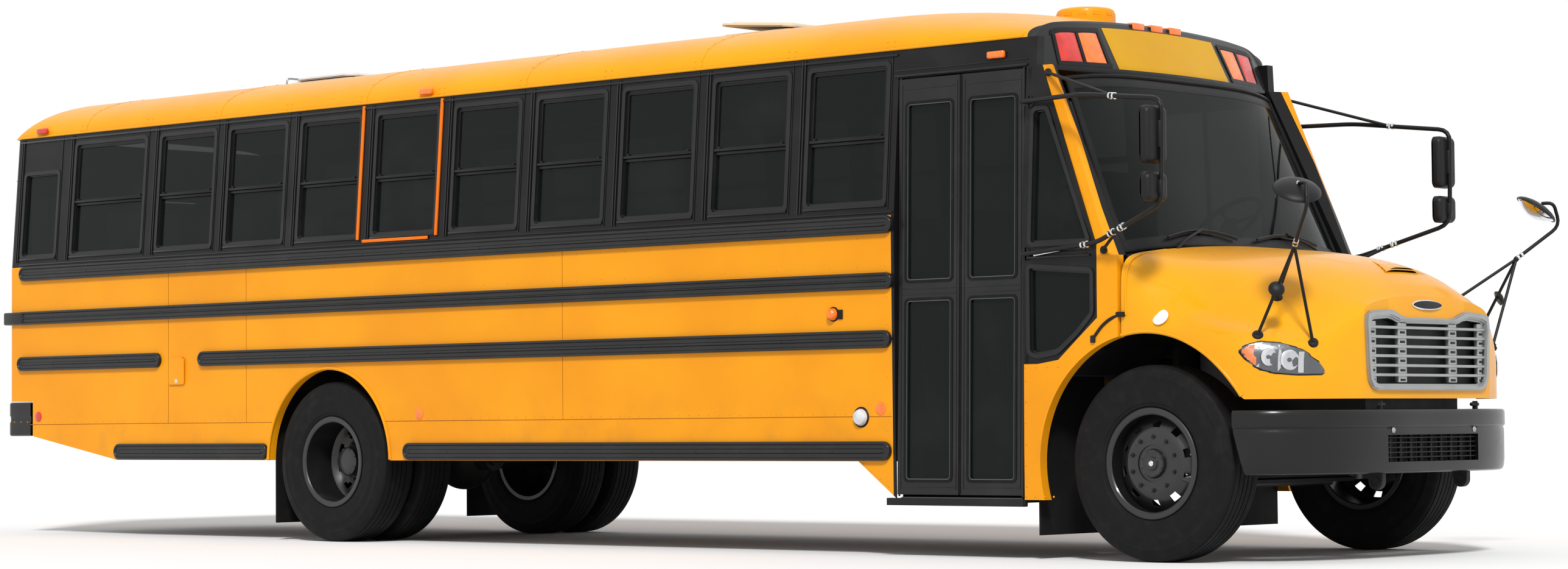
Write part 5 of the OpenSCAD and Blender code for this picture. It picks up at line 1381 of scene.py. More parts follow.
def front_bumper():
    bm, core, bolts = meshes(3)
    section = [(60, 797), (22, 803), (8, 801), (1, 792), (0, 770), (0, 722), (2, 714), (9, 708),
               (10, 702), (6, 694),
               (5, 672), (5, 668), (5, 640), (5, 597), (5, 560), (5, 525), (6, 518), (9, 490), (16, 472),
               (30, 465),
               (64, 466)]
    nu = 90
    verts = bmesh.ops.create_grid(bm, x_segments=nu, y_segments=len(section) - 1, size=0.5)["verts"]

    def spread(u):
        t = 2 * u - 1
        return math.copysign(abs(t) ** 0.9, t)
    for v in verts:
        inset, z = section[round((v.co.y + 0.5) * (len(section) - 1))]
        v.co = bumper_run(spread(v.co.x + 0.5), inset, z)
    for y in (-SLOT_Y, SLOT_Y):
        bmesh.ops.bisect_plane(bm, geom=bm.verts[:] + bm.edges[:] + bm.faces[:], plane_co=(0, y, 0),
                               plane_no=(0, 1, 0), dist=1e-5)
    gone = [f for f, c in ((f, f.calc_center_median()) for f in bm.faces)
            if abs(c.y) < SLOT_Y and SLOT_LOW < c.z < SLOT_TOP and c.x > AXLE + 1.0]
    bmesh.ops.delete(bm, geom=gone, context="FACES")
    rim = [e for e in bm.edges if len(e.link_faces) == 1
           and all(abs(v.co.y) < SLOT_Y + SLOT_SLACK and 0.52 < v.co.z < 0.669 and v.co.x > AXLE + 1.0
                   for v in e.verts)]
    back = bmesh.ops.extrude_edge_only(bm, edges=rim)["geom"]
    bmesh.ops.translate(bm, vec=(-0.05, 0, 0), verts=[g for g in back if isinstance(g, bmesh.types.BMVert)])
    bmesh.ops.recalc_face_normals(bm, faces=bm.faces)
    front = max(bm.faces, key=lambda f: f.calc_center_median().x)
    if front.normal.x < 0:
        bmesh.ops.reverse_faces(bm, faces=bm.faces[:])
    bmesh.ops.solidify(bm, geom=bm.faces[:], thickness=0.006)
    piece("front_bumper_shell", bm, bumper_black, sharp=38, replaces=["front_bumper"],
          recalc=False)
    plate(core, rounded(-470, 515, 470, 678, 20), "x", 978, 986)
    piece("bumper_mesh", core, core_mesh)
    ribs = bmesh.new()
    for i in range(5):
        z = 545 + i * 26
        block(ribs, (990, 1018), (-456, 456), (z, z + 7), 2)
    for i in range(9):
        y = -408 + i * 102
        block(ribs, (990, 1014), (y - 4, y + 4), (526, 667), 2)
    for s in (1, -1):
        block(ribs, (905, 1030), (s * 430 - 30, s * 430 + 30), (690, 780), 6)
        plate(ribs, [(901, 700), (985, 700), (985, 420)] + [(943 + 42 * math.cos(a), 420 - 42 * math.sin(a))
              for a in (math.radians(15 * i) for i in range(1, 12))] + [(901, 420)], "y", s * 430 - 20,
              s * 430 + 20, bevel=4)
        lathe(ribs, [(22, -24), (27, -24), (27, 24), (22, 24)], at(943, s * 430, 420), (0, 1, 0), 24,
              closed=True)
        block(ribs, (984, 1014), (s * 480, s * 492), (760, 846), 3)
        lathe(ribs, [(0, -34), (10, -34), (10, 34), (0, 34)], at(1000, s * 478, 828), (0, 1, 0), 16)
    piece("bumper_brackets", ribs, chassis)
    for y in (-417, 417):
        t = min((abs(bumper_run(k / 200, 0, 696).y - y / 1000), k / 200) for k in range(-200, 201))[1]
        p = bumper_run(t, 4, 692)
        lathe(bolts, [(0, 9), (7, 9), (9, 6), (14, 4), (17, 0), (17, -4), (0, -4)], p,
              (1, 0, 0) if abs(y) < 500 else
              (0.8, 0.6 * math.copysign(1, y), 0), 6)
    piece("bumper_bolts", bolts, steel)


front_bumper()


def rear_bumper():
    bm = bmesh.new()
    section = [(40, 712), (8, 706), (0, 716), (0, 800), (6, 812), (6, 842), (0, 854), (0, 938), (8, 948),
               (40, 944)]
    length, half, r = 297, HALF + 4, 70
    path = []
    for s in (-1, 1):
        corner = [(REAR - 27 + r - r * math.cos(a), s * (half - r + r * math.sin(a)), math.cos(a),
                   math.sin(a) * s)
                  for a in (math.radians(9 * i) for i in range(11))]
        corner += [(REAR - 27 + r + (length - r) * k / 4, s * half, 0, s) for k in range(1, 5)]
        path.append(corner)
    run = path[0][::-1] + [(REAR - 27, mix(-(half - r), half - r, k / 20), 1, 0) for k in range(1,
            20)] + path[1]
    verts = bmesh.ops.create_grid(bm, x_segments=len(run) - 1, y_segments=len(section) - 1, size=0.5)["verts"]
    for v in verts:
        x, y, nx, ny = run[round((v.co.x + 0.5) * (len(run) - 1))]
        inset, z = section[round((v.co.y + 0.5) * (len(section) - 1))]
        v.co = at(x + nx * (inset + 1), y - ny * (inset + 1), z)
    bmesh.ops.recalc_face_normals(bm, faces=bm.faces)
    back = min(bm.faces, key=lambda f: f.calc_center_median().x)
    if back.normal.x > 0:
        bmesh.ops.reverse_faces(bm, faces=bm.faces[:])
    bmesh.ops.solidify(bm, geom=bm.faces[:], thickness=0.006)
    for s in (1, -1):
        block(bm, (REAR - 14, REAR + 105), (s * 473 - 6, s * 473 + 6), (720, 860), 3)
    piece("rear_bumper_shell", bm, bumper_black, replaces=["rear_bumper"], recalc=False)


rear_bumper()


# ---------- wheels ----------
def tyre(bm, x, y):
    """A road tyre: bead, sidewall rings, shoulder and grooved tread."""
    w, r, f = 140, 525, 286
    half = [(f + 1, w - 30), (f + 5, w - 22), (f + 16, w - 19), (f + 20, w - 14), (f + 34, w - 11),
            (f + 38, w - 7),
            (f + 52, w - 6), (f + 70, w - 4), (f + 112, w - 1), (f + 118, w + 0), (f + 122, w - 1.5),
            (f + 150, w - 1.5),
            (r - 72, w - 3), (r - 66, w - 1), (r - 60, w - 4), (r - 30, w - 12), (r - 12, w - 20),
            (r - 7, w - 26),
            (r - 5, w - 40)]
    ribs = []
    for a, b in ((96, 62), (54, 22), (14, -14), (-22, -54), (-62, -96)):
        ribs += [(r - 16, a + 2), (r - 1, a), (r, (a + b) / 2), (r - 1, b), (r - 16, b - 2)]
    profile = half + ribs + [(a, -b) for a, b in reversed(half)]
    lathe(bm, profile, at(x, y, 525), (0, 1, 0), 96, closed=True)


def nuts(bm, x, y, s, circle, count, base, tall, r=13, ink=0):
    for i in range(count):
        a = TAU * (i + 0.5) / count
        c = at(x + circle * math.cos(a), y + s * base, 525 + circle * math.sin(a))
        lathe(bm, [(0, tall), (r * 0.45, tall), (r * 0.45, tall * 0.62), (r * 0.85, tall * 0.6),
                   (r, tall * 0.5),
                   (r, 3), (r * 1.3, 2), (r * 1.3, -3), (0, -3)], c, (0, s, 0), 6, ink=ink)


def disc_with_holes(bm, x, y, s, profile, first, last, count):
    """A wheel disc turned from a profile, with round-cornered hand holes in one band of it."""
    steps = count * 8
    made = lathe(bm, profile, at(x, y, 525), (0, s, 0), steps)
    centre = at(x, y, 525)
    gone = []
    for f in made:
        c = f.calc_center_median()
        radius = math.hypot(c.x - centre.x, c.z - centre.z) * 1000
        k = int((math.atan2(c.z - centre.z, c.x - centre.x) / TAU % 1) * steps + 0.5) % 8
        if first < radius < last and k in (2, 3, 4):
            gone.append(f)
    bmesh.ops.delete(bm, geom=gone, context="FACES")
    left = [f for f in made if f.is_valid]
    bmesh.ops.solidify(bm, geom=left, thickness=0.008)


def barrel(bm, x, y, s):
    lathe(bm, [(260, -124), (266, -130), (290, -132), (296, -128), (294, -120), (286, -118), (280, -100),
               (272, -60),
               (272, 60), (280, 100), (286, 118), (294, 120), (296, 128), (290, 132), (266, 130), (260, 124),
               (262, 96), (264, 50), (264, -50), (262, -96)], at(x, y, 525), (0, s, 0), 72, closed=True)


def front_wheels():
    for s, tag in ((1, "left"), (-1, "right")):
        body = f"front_{tag}_wheel"
        tread, rim, bolts, shiny = meshes(4)
        tyre(tread, 0, s * 1025)
        piece(f"{tag}_front_tyre", tread, tyre_rubber, body=body, replaces=[f"front_{tag}_tyre"])
        y = s * 1025
        barrel(rim, 0, y, s)
        disc_with_holes(rim, 0, y, s, [(264, 30), (250, 40), (226, 62), (210, 72), (190, 84), (172, 94),
                                       (158, 99),
                                       (140, 100), (100, 100)], 188, 232, 10)
        lathe(rim, [(0, 130), (24, 130), (34, 127), (38, 120), (52, 120), (62, 124), (72, 122), (78, 112),
                    (80, 102),
                    (112, 101), (112, 92), (60, 92), (0, 92)], at(0, y, 525), (0, s, 0), 48)
        nuts(bolts, 0, y, s, 143, 10, 100, 30)
        nuts(bolts, 0, y, s, 66, 8, 121, 8, 6)
        lathe(shiny, [(0, 134), (12, 133.5), (15, 131), (15, 124), (0, 124)], at(0, y, 525), (0, s, 0), 20)
        rod(shiny, [(196, y + s * 92, 480), (225, y + s * 128, 470), (240, y + s * 133, 466)], 4, bend=12,
            sides=6)
        piece(f"{tag}_front_wheel_disc", rim, wheel_black, body=body,
              replaces=[f"front_{tag}_rim"])
        piece(f"{tag}_front_nuts", bolts, wheel_black, body=body)
        piece(f"{tag}_front_hub_cap", shiny, chrome, body=body)


def rear_wheels():
    x = -WHEELBASE
    for s, tag in ((1, "left"), (-1, "right")):
        body = f"rear_{tag}_wheels"
        tread, rim, bolts = meshes(3)
        for y in (1060, 723):
            tyre(tread, x, s * y)
            barrel(rim, x, s * y, s)
        piece(f"{tag}_rear_tyres", tread, tyre_rubber, body=body, replaces=[f"rear_{tag}_tyres"])
        middle = s * 891.5
        disc_with_holes(rim, x, middle, s, [(264, 70), (252, 62), (232, 40), (214, 24), (194, 12),
                                            (180, 6), (150, 5),
                                            (110, 5)], 190, 238, 10)
        disc_with_holes(rim, x, middle, -s, [(264, 70), (252, 62), (232, 40), (214, 24), (194, 12),
                                             (180, 6), (150, 5),
                                             (110, 5)], 190, 238, 10)
        lathe(rim, [(0, 178), (40, 178), (78, 174), (92, 166), (96, 150), (98, 60), (104, 40), (118, 30),
                    (120, 8),
                    (60, 8), (0, 8)], at(x, middle, 525), (0, s, 0), 48)
        nuts(bolts, x, middle, s, 145, 10, 8, 38)
        nuts(bolts, x, middle, s, 84, 8, 168, 9, 7)
        piece(f"{tag}_rear_wheel_discs", rim, wheel_black, body=body,
              replaces=[f"rear_{tag}_rims"])
        piece(f"{tag}_rear_nuts", bolts, wheel_black, body=body)


front_wheels()
rear_wheels()


# ---------- mirrors ----------
def side_mirrors():
    arms, heads, faces, clamps = meshes(4)
    y0 = HALF + 15
    rod(arms, [(-768, y0, 2500), (-300, 1345, 2500), (300, 1440, 2432), (292, 1440, 1883), (-240, 1290, 1705),
               (-768, y0, 1666)], 13, bend=70)
    rod(arms, [(-60, 1378, 2473), (-645, wall_y(2655) + 12, 2655)], 9)
    rod(arms, [(-60, 1342, 1766), (-242, HALF + 12, 1668)], 9)
    for z0, z1, z in ((2470, 2530, 2500), (1635, 1697, 1666)):
        wall = wall_y(z)
        plate(arms, stadium(-800, -735, z0 - 4, z1 + 4), "y", wall + 0.5, wall + 10, bevel=4)
        block(arms, (-790, -745), (wall + 4, y0 + 12), (z - 12, z + 12), 8, 3)
    for x, y, z, r in ((-645, wall_y(2655) + 5, 2655, 22), (-242, HALF + 5, 1668, 22)):
        lathe(arms, [(0, 12), (r * 0.6, 11), (r, 5), (r, -4), (0, -4)], at(x, y, z), (0, 1, 0), 20)
    for x, y, z, axis in ((-60, 1379, 2473, (1, 0.16, -0.1)), (-30, 1350, 1776, (1, 0.28, 0.33)),
                          (-110, 1331, 1750, (1, 0.28, 0.33)), (-330, 1278, 1698, (1, 0.1, 0.08))):
        for d in (-14, 14):
            lathe(clamps, [(13, -6), (19, -6), (19, 6), (13, 6)],
                  at(x, y, z) + Vector(axis).normalized() * d / 1000,
                  axis, 16, closed=True)
        lathe(clamps, [(0, 14), (6, 14), (6, -14), (0, -14)], at(x, y - 20, z), (0, 0, 1), 8)
    rod(clamps, [(-700, HALF + 22, 1655), (-520, 1248, 1676)], 6, sides=8)
    for z0, z1 in ((2095, 2396), (1892, 2048)):
        zc = (z0 + z1) / 2
        outline = rounded(1356, z0, 1540, z1, 38, 7)
        plate(heads, outline, "x", 228, 284, bevel=30, segments=6)
        block(heads, (262, 304), (1424, 1458), (zc - (z1 - z0) * 0.24, zc + (z1 - z0) * 0.24), 10, 3)
        ring(heads, rounded(1356, z0, 1540, z1, 38, 7), rounded(1366, z0 + 10, 1530, z1 - 10, 30, 7), "x",
             226, 236)
        plate(faces, rounded(1366, z0 + 10, 1530, z1 - 10, 30, 7), "x", 227, 231)
    for bm in (arms, heads, faces, clamps):
        mirrored(bm)
    piece("mirror_arms", arms, trim, replaces=["side_mirrors"])
    piece("mirror_heads", heads, plastic)
    piece("mirror_faces", faces, mirror_glass)
    piece("mirror_clamps", clamps, chrome)


side_mirrors()


def crossview_mirrors():
    arms, shells, faces, shiny = meshes(4)
    apex = (903, 1126, 1646)
    normal = Vector((math.sin(math.radians(34)) * math.cos(math.radians(39)),
                     math.sin(math.radians(34)) * math.sin(math.radians(39)), math.cos(math.radians(34))))
    for x, y, z in ((640, 1095, 1178), (866, 905, 1136), (612, 862, 1388)):
        p = Vector((x, y, z))
        q = p.lerp(Vector(apex), 0.035)
        rod(arms, [tuple(q), apex], 8.5)
        lathe(arms, [(0, 20), (10, 19), (14, 10), (27, 7), (30, 0), (30, -8), (0, -8)], at(*q),
              (0.5, 0.6, 0.75), 20)
    lathe(arms, [(0, 16), (12, 12), (16, 0), (12, -12), (0, -16)], at(*apex), (0.3, 0.3, 1), 16)
    centre = Vector((985, 1219, 1931))
    tip = centre + normal * 34
    rod(arms, [apex, (1090, 1291, 1833), (1068, 1262, 1962), tuple(tip)], 10, bend=55)
    lathe(shells, [(0, 34), (24, 33), (60, 28), (92, 19), (114, 8), (124, -2), (126, -9), (122, -12),
                   (116, -8), (0, -4)],
          at(*centre), normal, 48)
    lathe(faces, [(0, -58), (38, -53), (76, -38), (102, -21), (117, -8), (110, -5), (0, -3)], at(*centre),
          normal, 48)
    lathe(shiny, [(0, 12), (9, 11), (12, 4), (12, -8), (0, -8)], at(*tip), normal, 16)
    p = Vector(apex)
    for k in (0.05, 0.13):
        q = p.lerp(Vector((1090, 1291, 1833)), k)
        lathe(shiny, [(10, -6), (15, -6), (15, 6), (10, 6)], at(*q), (0.65, 0.6, 0.6), 14, closed=True)
    # a lower round convex mirror on the rear leg
    low = Vector((640, 1095, 1178)).lerp(p, 0.52)
    out = Vector((0.55, 0.6, 0.35)).normalized()
    lathe(shells, [(0, 26), (20, 24), (34, 17), (42, 6), (43, -2), (38, -4), (0, -2)],
          at(*(low + out * 16)), out, 32)
    for bm in (arms, shells, faces, shiny):
        mirrored(bm)
    piece("convex_mirror_arms", arms, trim, body="hood", replaces=["crossview_mirrors"])
    piece("convex_mirror_shells", shells, plastic, body="hood")
    piece("convex_mirror_faces", faces, mirror_glass, body="hood")
    piece("convex_mirror_bolts", shiny, chrome, body="hood")


crossview_mirrors()


# ---------- entrance ----------
def door_point(x, d, up_leaf):
    """A point on an entrance leaf: x along it, d behind its outer face, up it from its lower edge."""
    a = math.radians(1.3)
    return at(x, -HALF + d * math.cos(a) + up_leaf * math.sin(a),
              350 + up_leaf * math.cos(a) - d * math.sin(a))


def entrance_doors():
    height = (2690 - 350) / math.cos(math.radians(1.3))
    middle = (-1713 - 798) / 2
    for tag, x0, x1 in (("rear", -1703, middle - 5), ("front", middle + 5, -808)):
        seals, rails, shine = meshes(3)

        def lean_leaf(bm):
            for v in bm.verts:
                x = (v.co.x - AXLE) * 1000
                v.co = door_point(x, v.co.y * 1000, v.co.z * 1000)
        for z0, z1 in ((80, 1090), (1198, 2200)):
            ring(seals, rounded(x0 + 46, z0 - 12, x1 - 46, z1 + 12, 32),
                 rounded(x0 + 62, z0 + 4, x1 - 62, z1 - 4, 20), "y",
                 -4, 12)
            ring(shine, rounded(x0 + 62, z0 + 4, x1 - 62, z1 - 4, 20),
                 rounded(x0 + 67, z0 + 9, x1 - 67, z1 - 9, 16), "y",
                 -2, 10)
        edge = x1 if tag == "rear" else x0
        block(seals, (edge - 3, edge + 3), (-5, 30), (4, height - 4), 2)
        for x in (x0 + 22, x1 - 22):
            block(rails, (x - 3, x + 3), (-3, 2), (30, height - 30), 1.5)
        for z in (1120, 1150):
            block(rails, (x0 + 30, x1 - 30), (-3, 2), (z, z + 6), 1.5)
        for z in (40, height - 60):
            block(rails, (x0 + 30, x1 - 30), (-3, 2), (z, z + 5), 1.5)
        for bm in (seals, rails, shine):
            lean_leaf(bm)
        bar_x = x0 + 150 if tag == "rear" else x1 - 150
        grab = [door_point(bar_x - 30, 36, 900), door_point(bar_x - 22, 62, 880), door_point(bar_x, 66, 620),
                door_point(bar_x + 40, 66, 330), door_point(bar_x + 44, 36, 300)]
        bars = bmesh.new()
        rod(bars, [((p.x - AXLE) * 1000, p.y * 1000, p.z * 1000) for p in grab], 11, bend=60)
        piece(f"{tag}_leaf_seals", seals, seal_rubber, body=f"entrance_{tag}_leaf")
        piece(f"{tag}_leaf_trim", rails, frame_black, body=f"entrance_{tag}_leaf")
        piece(f"{tag}_leaf_beads", shine, satin_dark, body=f"entrance_{tag}_leaf")
        piece(f"{tag}_leaf_grab_rail", bars, steel, body=f"entrance_{tag}_leaf")
    treads = bmesh.new()
    for z, y in ((330, -HALF + 18), (565, -973), (800, -727)):
        block(treads, (-1690, -830), (y, y + 34), (z - 3, z + 6), 2)
        for i in range(4):
            block(treads, (-1690, -830), (y + 50 + i * 26, y + 58 + i * 26), (z, z + 5), 1)
    piece("step_nosings", treads, nosing)
    lip = bmesh.new()
    block(lip, (-1720, -792), (-HALF - 4, -HALF + 24), (289, 325), 8, 3)
    piece("door_sill_rubber", lip, seal_rubber)
    header = bmesh.new()
    block(header, (-1735, -790), (-wall_y(2712) - 14, -wall_y(2712) + 4), (2704, 2718), 5, 3)
    block(header, (-1735, -790), (-wall_y(2760) - 6, -wall_y(2760) + 4), (2740, 2746), 2)
    piece("door_header_gutter", header, frame_black)


satin_dark = metal("window_bead", rgb(92, 94, 95), 0.35, 300.0, metallic=0.8)
entrance_doors()


# ---------- stop arm and fuel flap ----------
def octagon(x, z, half):
    r = half / math.cos(math.radians(22.5))
    return [(x + r * math.cos(math.radians(22.5 + 45 * k)),
             z + r * math.sin(math.radians(22.5 + 45 * k))) for k in range(8)]


def stop_arm():
    plate_red, border, dark, lamps = meshes(4)
    x, z, y = STOP_ARM_X, STOP_ARM_Z, HALF + 49
    plate(plate_red, octagon(x, z, 224), "y", y - 3, y + 3, bevel=1.5)
    for d0, d1 in ((y + 2, y + 4.5), (y - 4.5, y - 2)):
        ring(border, octagon(x, z, 225), octagon(x, z, 207), "y", d0, d1)
    for z0 in (1650, 1740):
        block(dark, (x + 190, x + 262), (y - 6, y + 6), (z0, z0 + 40), 4)
        lathe(dark, [(0, 25), (7, 25), (10, 22), (10, -22), (7, -25), (0, -25)], at(x + 270, y, z0 + 20),
              (0, 0, 1), 20)
        lathe(dark, [(0, 8), (6, 7), (8, 4), (8, -4), (0, -4)], at(x + 225, y + 4, z0 + 20), (0, 1, 0), 6)
    for z0 in (z + 138, z - 138):
        for side in (1, -1):
            lathe(dark, [(44, 0), (50, 3), (50, 9), (44, 11), (44, 6)], at(x, y, z0), (0, side, 0), 32,
                  closed=True)
            lathe(lamps, [(0, 15), (20, 14), (38, 10.5), (44, 5), (44, 1), (0, 1)], at(x, y, z0),
                  (0, side, 0), 32)
    piece("stop_arm_plate", plate_red, stop_red, body="stop_arm", replaces=["stop_arm"])
    piece("stop_arm_border", border, white, body="stop_arm")
    piece("stop_arm_hinges", dark, plastic, body="stop_arm")
    piece("stop_arm_lamps", lamps, red, body="stop_arm")


stop_arm()


def fuel_flap():
    flap, latch = meshes(2)
    x, z, y = -WHEELBASE - 1578, 1144, -HALF - 13
    plate(flap, rounded(x - 84, z - 90, x + 84, z + 90, 14), "y", y, y + 6, bevel=3)
    lathe(flap, [(0, 60), (3.5, 60), (5, 57), (5, -57), (3.5, -60), (0, -60)], at(x, -HALF - 5.3, z + 96),
          (1, 0, 0), 14)
    block(flap, (x - 58, x + 58), (y + 1, y + 6), (z + 86, z + 95), 1.5)
    lathe(latch, [(0, 2.5), (9, 2.2), (14, 1), (15, -1), (0, -1)], at(x, y, z - 66), (0, -1, 0), 24)
    block(latch, (x - 2, x + 2), (y - 4, y), (z - 75, z - 57), 0.8)
    piece("fuel_flap", flap, yellow, body="fuel_door", replaces=["fuel_door"])
    piece("fuel_flap_latch", latch, chrome, body="fuel_door")


fuel_flap()


# ---------- on the roof ----------
def roof_fittings():
    for tag, x, lift_by, finish in (("front", HATCHES[0], 5, beige), ("rear", HATCHES[1], 0, pale_grey)):
        lid, latch = meshes(2)
        plate(lid, rounded(-595, -299, 5, 299, 60, 8), "z", 0, 18, bevel=9, segments=4)
        plate(lid, rounded(-548, -252, -42, 252, 46, 8), "z", 14, 27.6, bevel=10, segments=4)
        ring(lid, rounded(-595, -299, 5, 299, 60, 8), rounded(-580, -284, -10, 284, 48, 8), "z", -1.8, 4)
        for k in range(5):
            block(lid, (-500 + k * 90, -470 + k * 90), (-190, 190), (24, 27.9), 1.5)
        for y in (-200, 200):
            lathe(latch, [(0, 45), (6, 45), (8, 42), (8, -42), (6, -45), (0, -45)], at(0, y, 0),
                  (0, 1, 0), 16)
        turn = Matrix.Rotation(math.radians(lift_by), 4, "Y")
        hinge = at(x + 290, 0, 3200.3)
        for bm in (lid, latch):
            for v in bm.verts:
                v.co = hinge + turn @ (v.co - at(0, 0, 0))
        piece(f"{tag}_hatch_cover", lid, finish, body=f"{tag}_hatch",
              replaces=[f"{tag}_hatch_lid"])
        piece(f"{tag}_hatch_pins", latch, steel, body=f"{tag}_hatch")
        curb = bmesh.new()
        for z0, z1, a, b in ((3168.4, 3178, 299.5, 232), (3178, 3191.6, 286, 232)):
            ring(curb, rounded(x - a, -a, x + a, a, 50, 8), rounded(x - b, -b, x + b, b, 20, 8), "z", z0, z1)
        ring(curb, rounded(x - 234, -234, x + 234, 234, 20, 8),
             rounded(x - 230, -230, x + 230, 230, 18, 8), "z", 3139, 3190)
        for k in range(7):
            for s in (1, -1):
                rivet(curb, at(x - 255 + k * 85, s * 292, 3178), (0, 0, 1), 0.006)
                rivet(curb, at(x + s * 292, -255 + k * 85, 3178), (0, 0, 1), 0.006)
        piece(f"{tag}_hatch_curb", curb, finish,
              replaces=["roof_fittings"] if tag == "front" else ())
    dome = bmesh.new()
    base = crown(-1257)
    lathe(dome, [(0, 3157.5 - base), (60, 3157 - base), (120, 3154 - base), (150, 3149 - base),
                 (164, 3140 - base),
                 (169, 3128 - base), (171, 3100 - base), (174.6, 3098 - base), (174.6, 3030 - base),
                 (0, 3030 - base)],
          at(-1257, 0, base), (0, 0, 1), 64)
    for k in range(12):
        a = TAU * k / 12
        c = at(-1257 + 168 * math.cos(a), 168 * math.sin(a), 3112)
        bmesh.ops.create_cube(dome, size=1, matrix=Matrix.Translation(c) @ Matrix.Rotation(a, 4, "Z")
                              @ Matrix.Diagonal((0.008, 0.05, 0.018, 1)))
    piece("roof_vent", dome, roof_yellow)
    guard, light = meshes(2)
    x = -WHEELBASE - 1746
    rod(guard, [(x, -100, 3172), (x, -100, 3258), (x, 100, 3258), (x, 100, 3172)], 7.5, bend=30)
    plate(guard, stadium(x - 26, x + 26, -110, 110), "z", 3168.4, 3173, bevel=2)
    lathe(light, [(0, 70), (20, 69), (38, 62), (48, 48), (51, 30), (51, 14), (54.5, 13), (54.5, 0), (0, 0)],
          at(x, 0, 3168.4), (0, 0, 1), 40)
    for z in (20, 28, 36, 44):
        lathe(light, [(49, z - 2), (53, z), (49, z + 2), (46, z)], at(x, 0, 3168.4), (0, 0, 1), 40,
              closed=True)
    piece("strobe_guard", guard, steel)
    piece("strobe_lens", light, clear)


roof_fittings()


# ---------- rear wall ----------
def rear_details():
    seals, shine, body_bits, glass, blank = meshes(5)
    for z0, z1 in ((1180, 1640), (1840, 2380)):
        ring(seals, rounded(-386, z0 - 16, 386, z1 + 16, 46), rounded(-366, z0 + 4, 366, z1 - 4, 30), "x",
             REAR - 6, REAR + 8)
    for y in (-482, 482):
        block(seals, (REAR - 2, REAR + 14), (y - 5, y + 5), (1052, 2458), 3)
    for z in (1054, 2456):
        block(seals, (REAR - 2, REAR + 14), (-480, 480), (z - 5, z + 5), 3)
    piece("rear_door_seals", seals, seal_rubber, body="rear_door")
    for z in (1690, 1790):
        lathe(shine, [(0, 19), (10, 19), (13, 16), (13, 3), (18, 1), (18, -3), (0, -3)], at(REAR, 407, z),
              (-1, 0, 0), 20)
    rod(shine, [(REAR - 17, 407, 1676), (REAR - 17, 407, 1806)], 7, sides=12)
    for z in (1150, 1700, 2300):
        for k in range(5):
            z0 = z + 22 * k
            lathe(shine, [(0, 0.8), (11, 0.8), (13, 2.5), (13, 19.5), (11, 21.2), (0, 21.2)],
                  at(REAR - 13, -488, z0),
                  (0, 0, 1), 16)
        block(shine, (REAR - 5, REAR + 1), (-484, -425), (z + 2, z + 108), 2)
        for dz in (22, 55, 88):
            lathe(shine, [(0, 5), (5, 4.5), (8, 1), (8, -1), (0, -1)], at(REAR - 4, -444, z + dz),
                  (-1, 0, 0), 6)
    piece("rear_door_hardware", shine, steel, body="rear_door")
    bottom, step = meshes(2)
    for s in (1, -1):
        a, b = sorted((s * 620, s * 1060))
        ring(body_bits, rounded(a - 18, 1932, b + 18, 2468, 48), rounded(a + 4, 1954, b - 4, 2446, 32),
             "x", REAR - 6, REAR + 10)
        plate(glass, rounded(a + 2, 1952, b - 2, 2448, 34), "x", REAR + 18, REAR + 24)
        # thin strips in the painted seam shadow colour along the rear panel laps
        for z in (1120, 1560, 2560):
            block(step, (REAR - 1.2, REAR + 3), span(s, 500, 1150), (z, z + 5), 1)
        for k in range(14):
            for z in (1106, 1546, 2546):
                rivet(bottom, at(REAR - 0.5, s * (520 + k * 47), z), (-1, 0, 0), 0.006)
    plate(blank, rounded(-150, 2500, 150, 2600, 8), "x", REAR - 3.4, REAR - 0.4, bevel=1)
    # strips of painted seam shadow above and below the blank plate
    for z in (2490, 2605):
        block(step, (REAR - 4, REAR + 1), (-500, 500), (z - 4, z + 4), 1.5)
    piece("rear_window_seals", body_bits, seal_rubber)
    piece("rear_window_glass", glass, window_glass)
    piece("rear_seams", step, seam_shadow_brown)
    piece("rear_rivets", bottom, yellow)
    piece("rear_blank_plate", blank, pale_grey)


rear_details()


# ---------- inside ----------
def steering_wheel():
    bm, soft = meshes(2)
    axis = Vector((-math.sin(math.radians(38)), 0, math.cos(math.radians(38))))
    centre = at(-690, 600, 1900)
    lathe(soft, [(220 + 14.5 * math.cos(TAU * k / 14), 14.5 * math.sin(TAU * k / 14)) for k in range(14)],
          centre, axis, 72,
          closed=True)
    lathe(bm, [(0, 13.5), (26, 13), (40, 9), (50, 1), (54, -10), (54, -19), (0, -19)], centre, axis, 40)
    side = Vector((0, 1, 0))
    up_wheel = axis.cross(side)
    for k in range(3):
        a = TAU * k / 3
        d = up_wheel * math.cos(a) + side * math.sin(a)
        across = axis.cross(d)
        spoke = bmesh.ops.create_grid(bm, x_segments=10, y_segments=2, size=0.5)["verts"]
        faces = list({f for v in spoke for f in v.link_faces})
        for v in spoke:
            t, w = v.co.x + 0.5, v.co.y
            v.co = centre + d * mix(0.034, 0.212, t) + across * w * mix(0.040, 0.020, math.sin(math.pi * t)) \
                + axis * (-0.004 - 0.005 * math.sin(math.pi * t))
        bmesh.ops.solidify(bm, geom=faces, thickness=0.008)
    piece("steering_wheel_rim", soft, seal_rubber, body="steering_wheel",
          replaces=["steering_wheel"])
    piece("steering_wheel_hub", bm, plastic, body="steering_wheel")


steering_wheel()


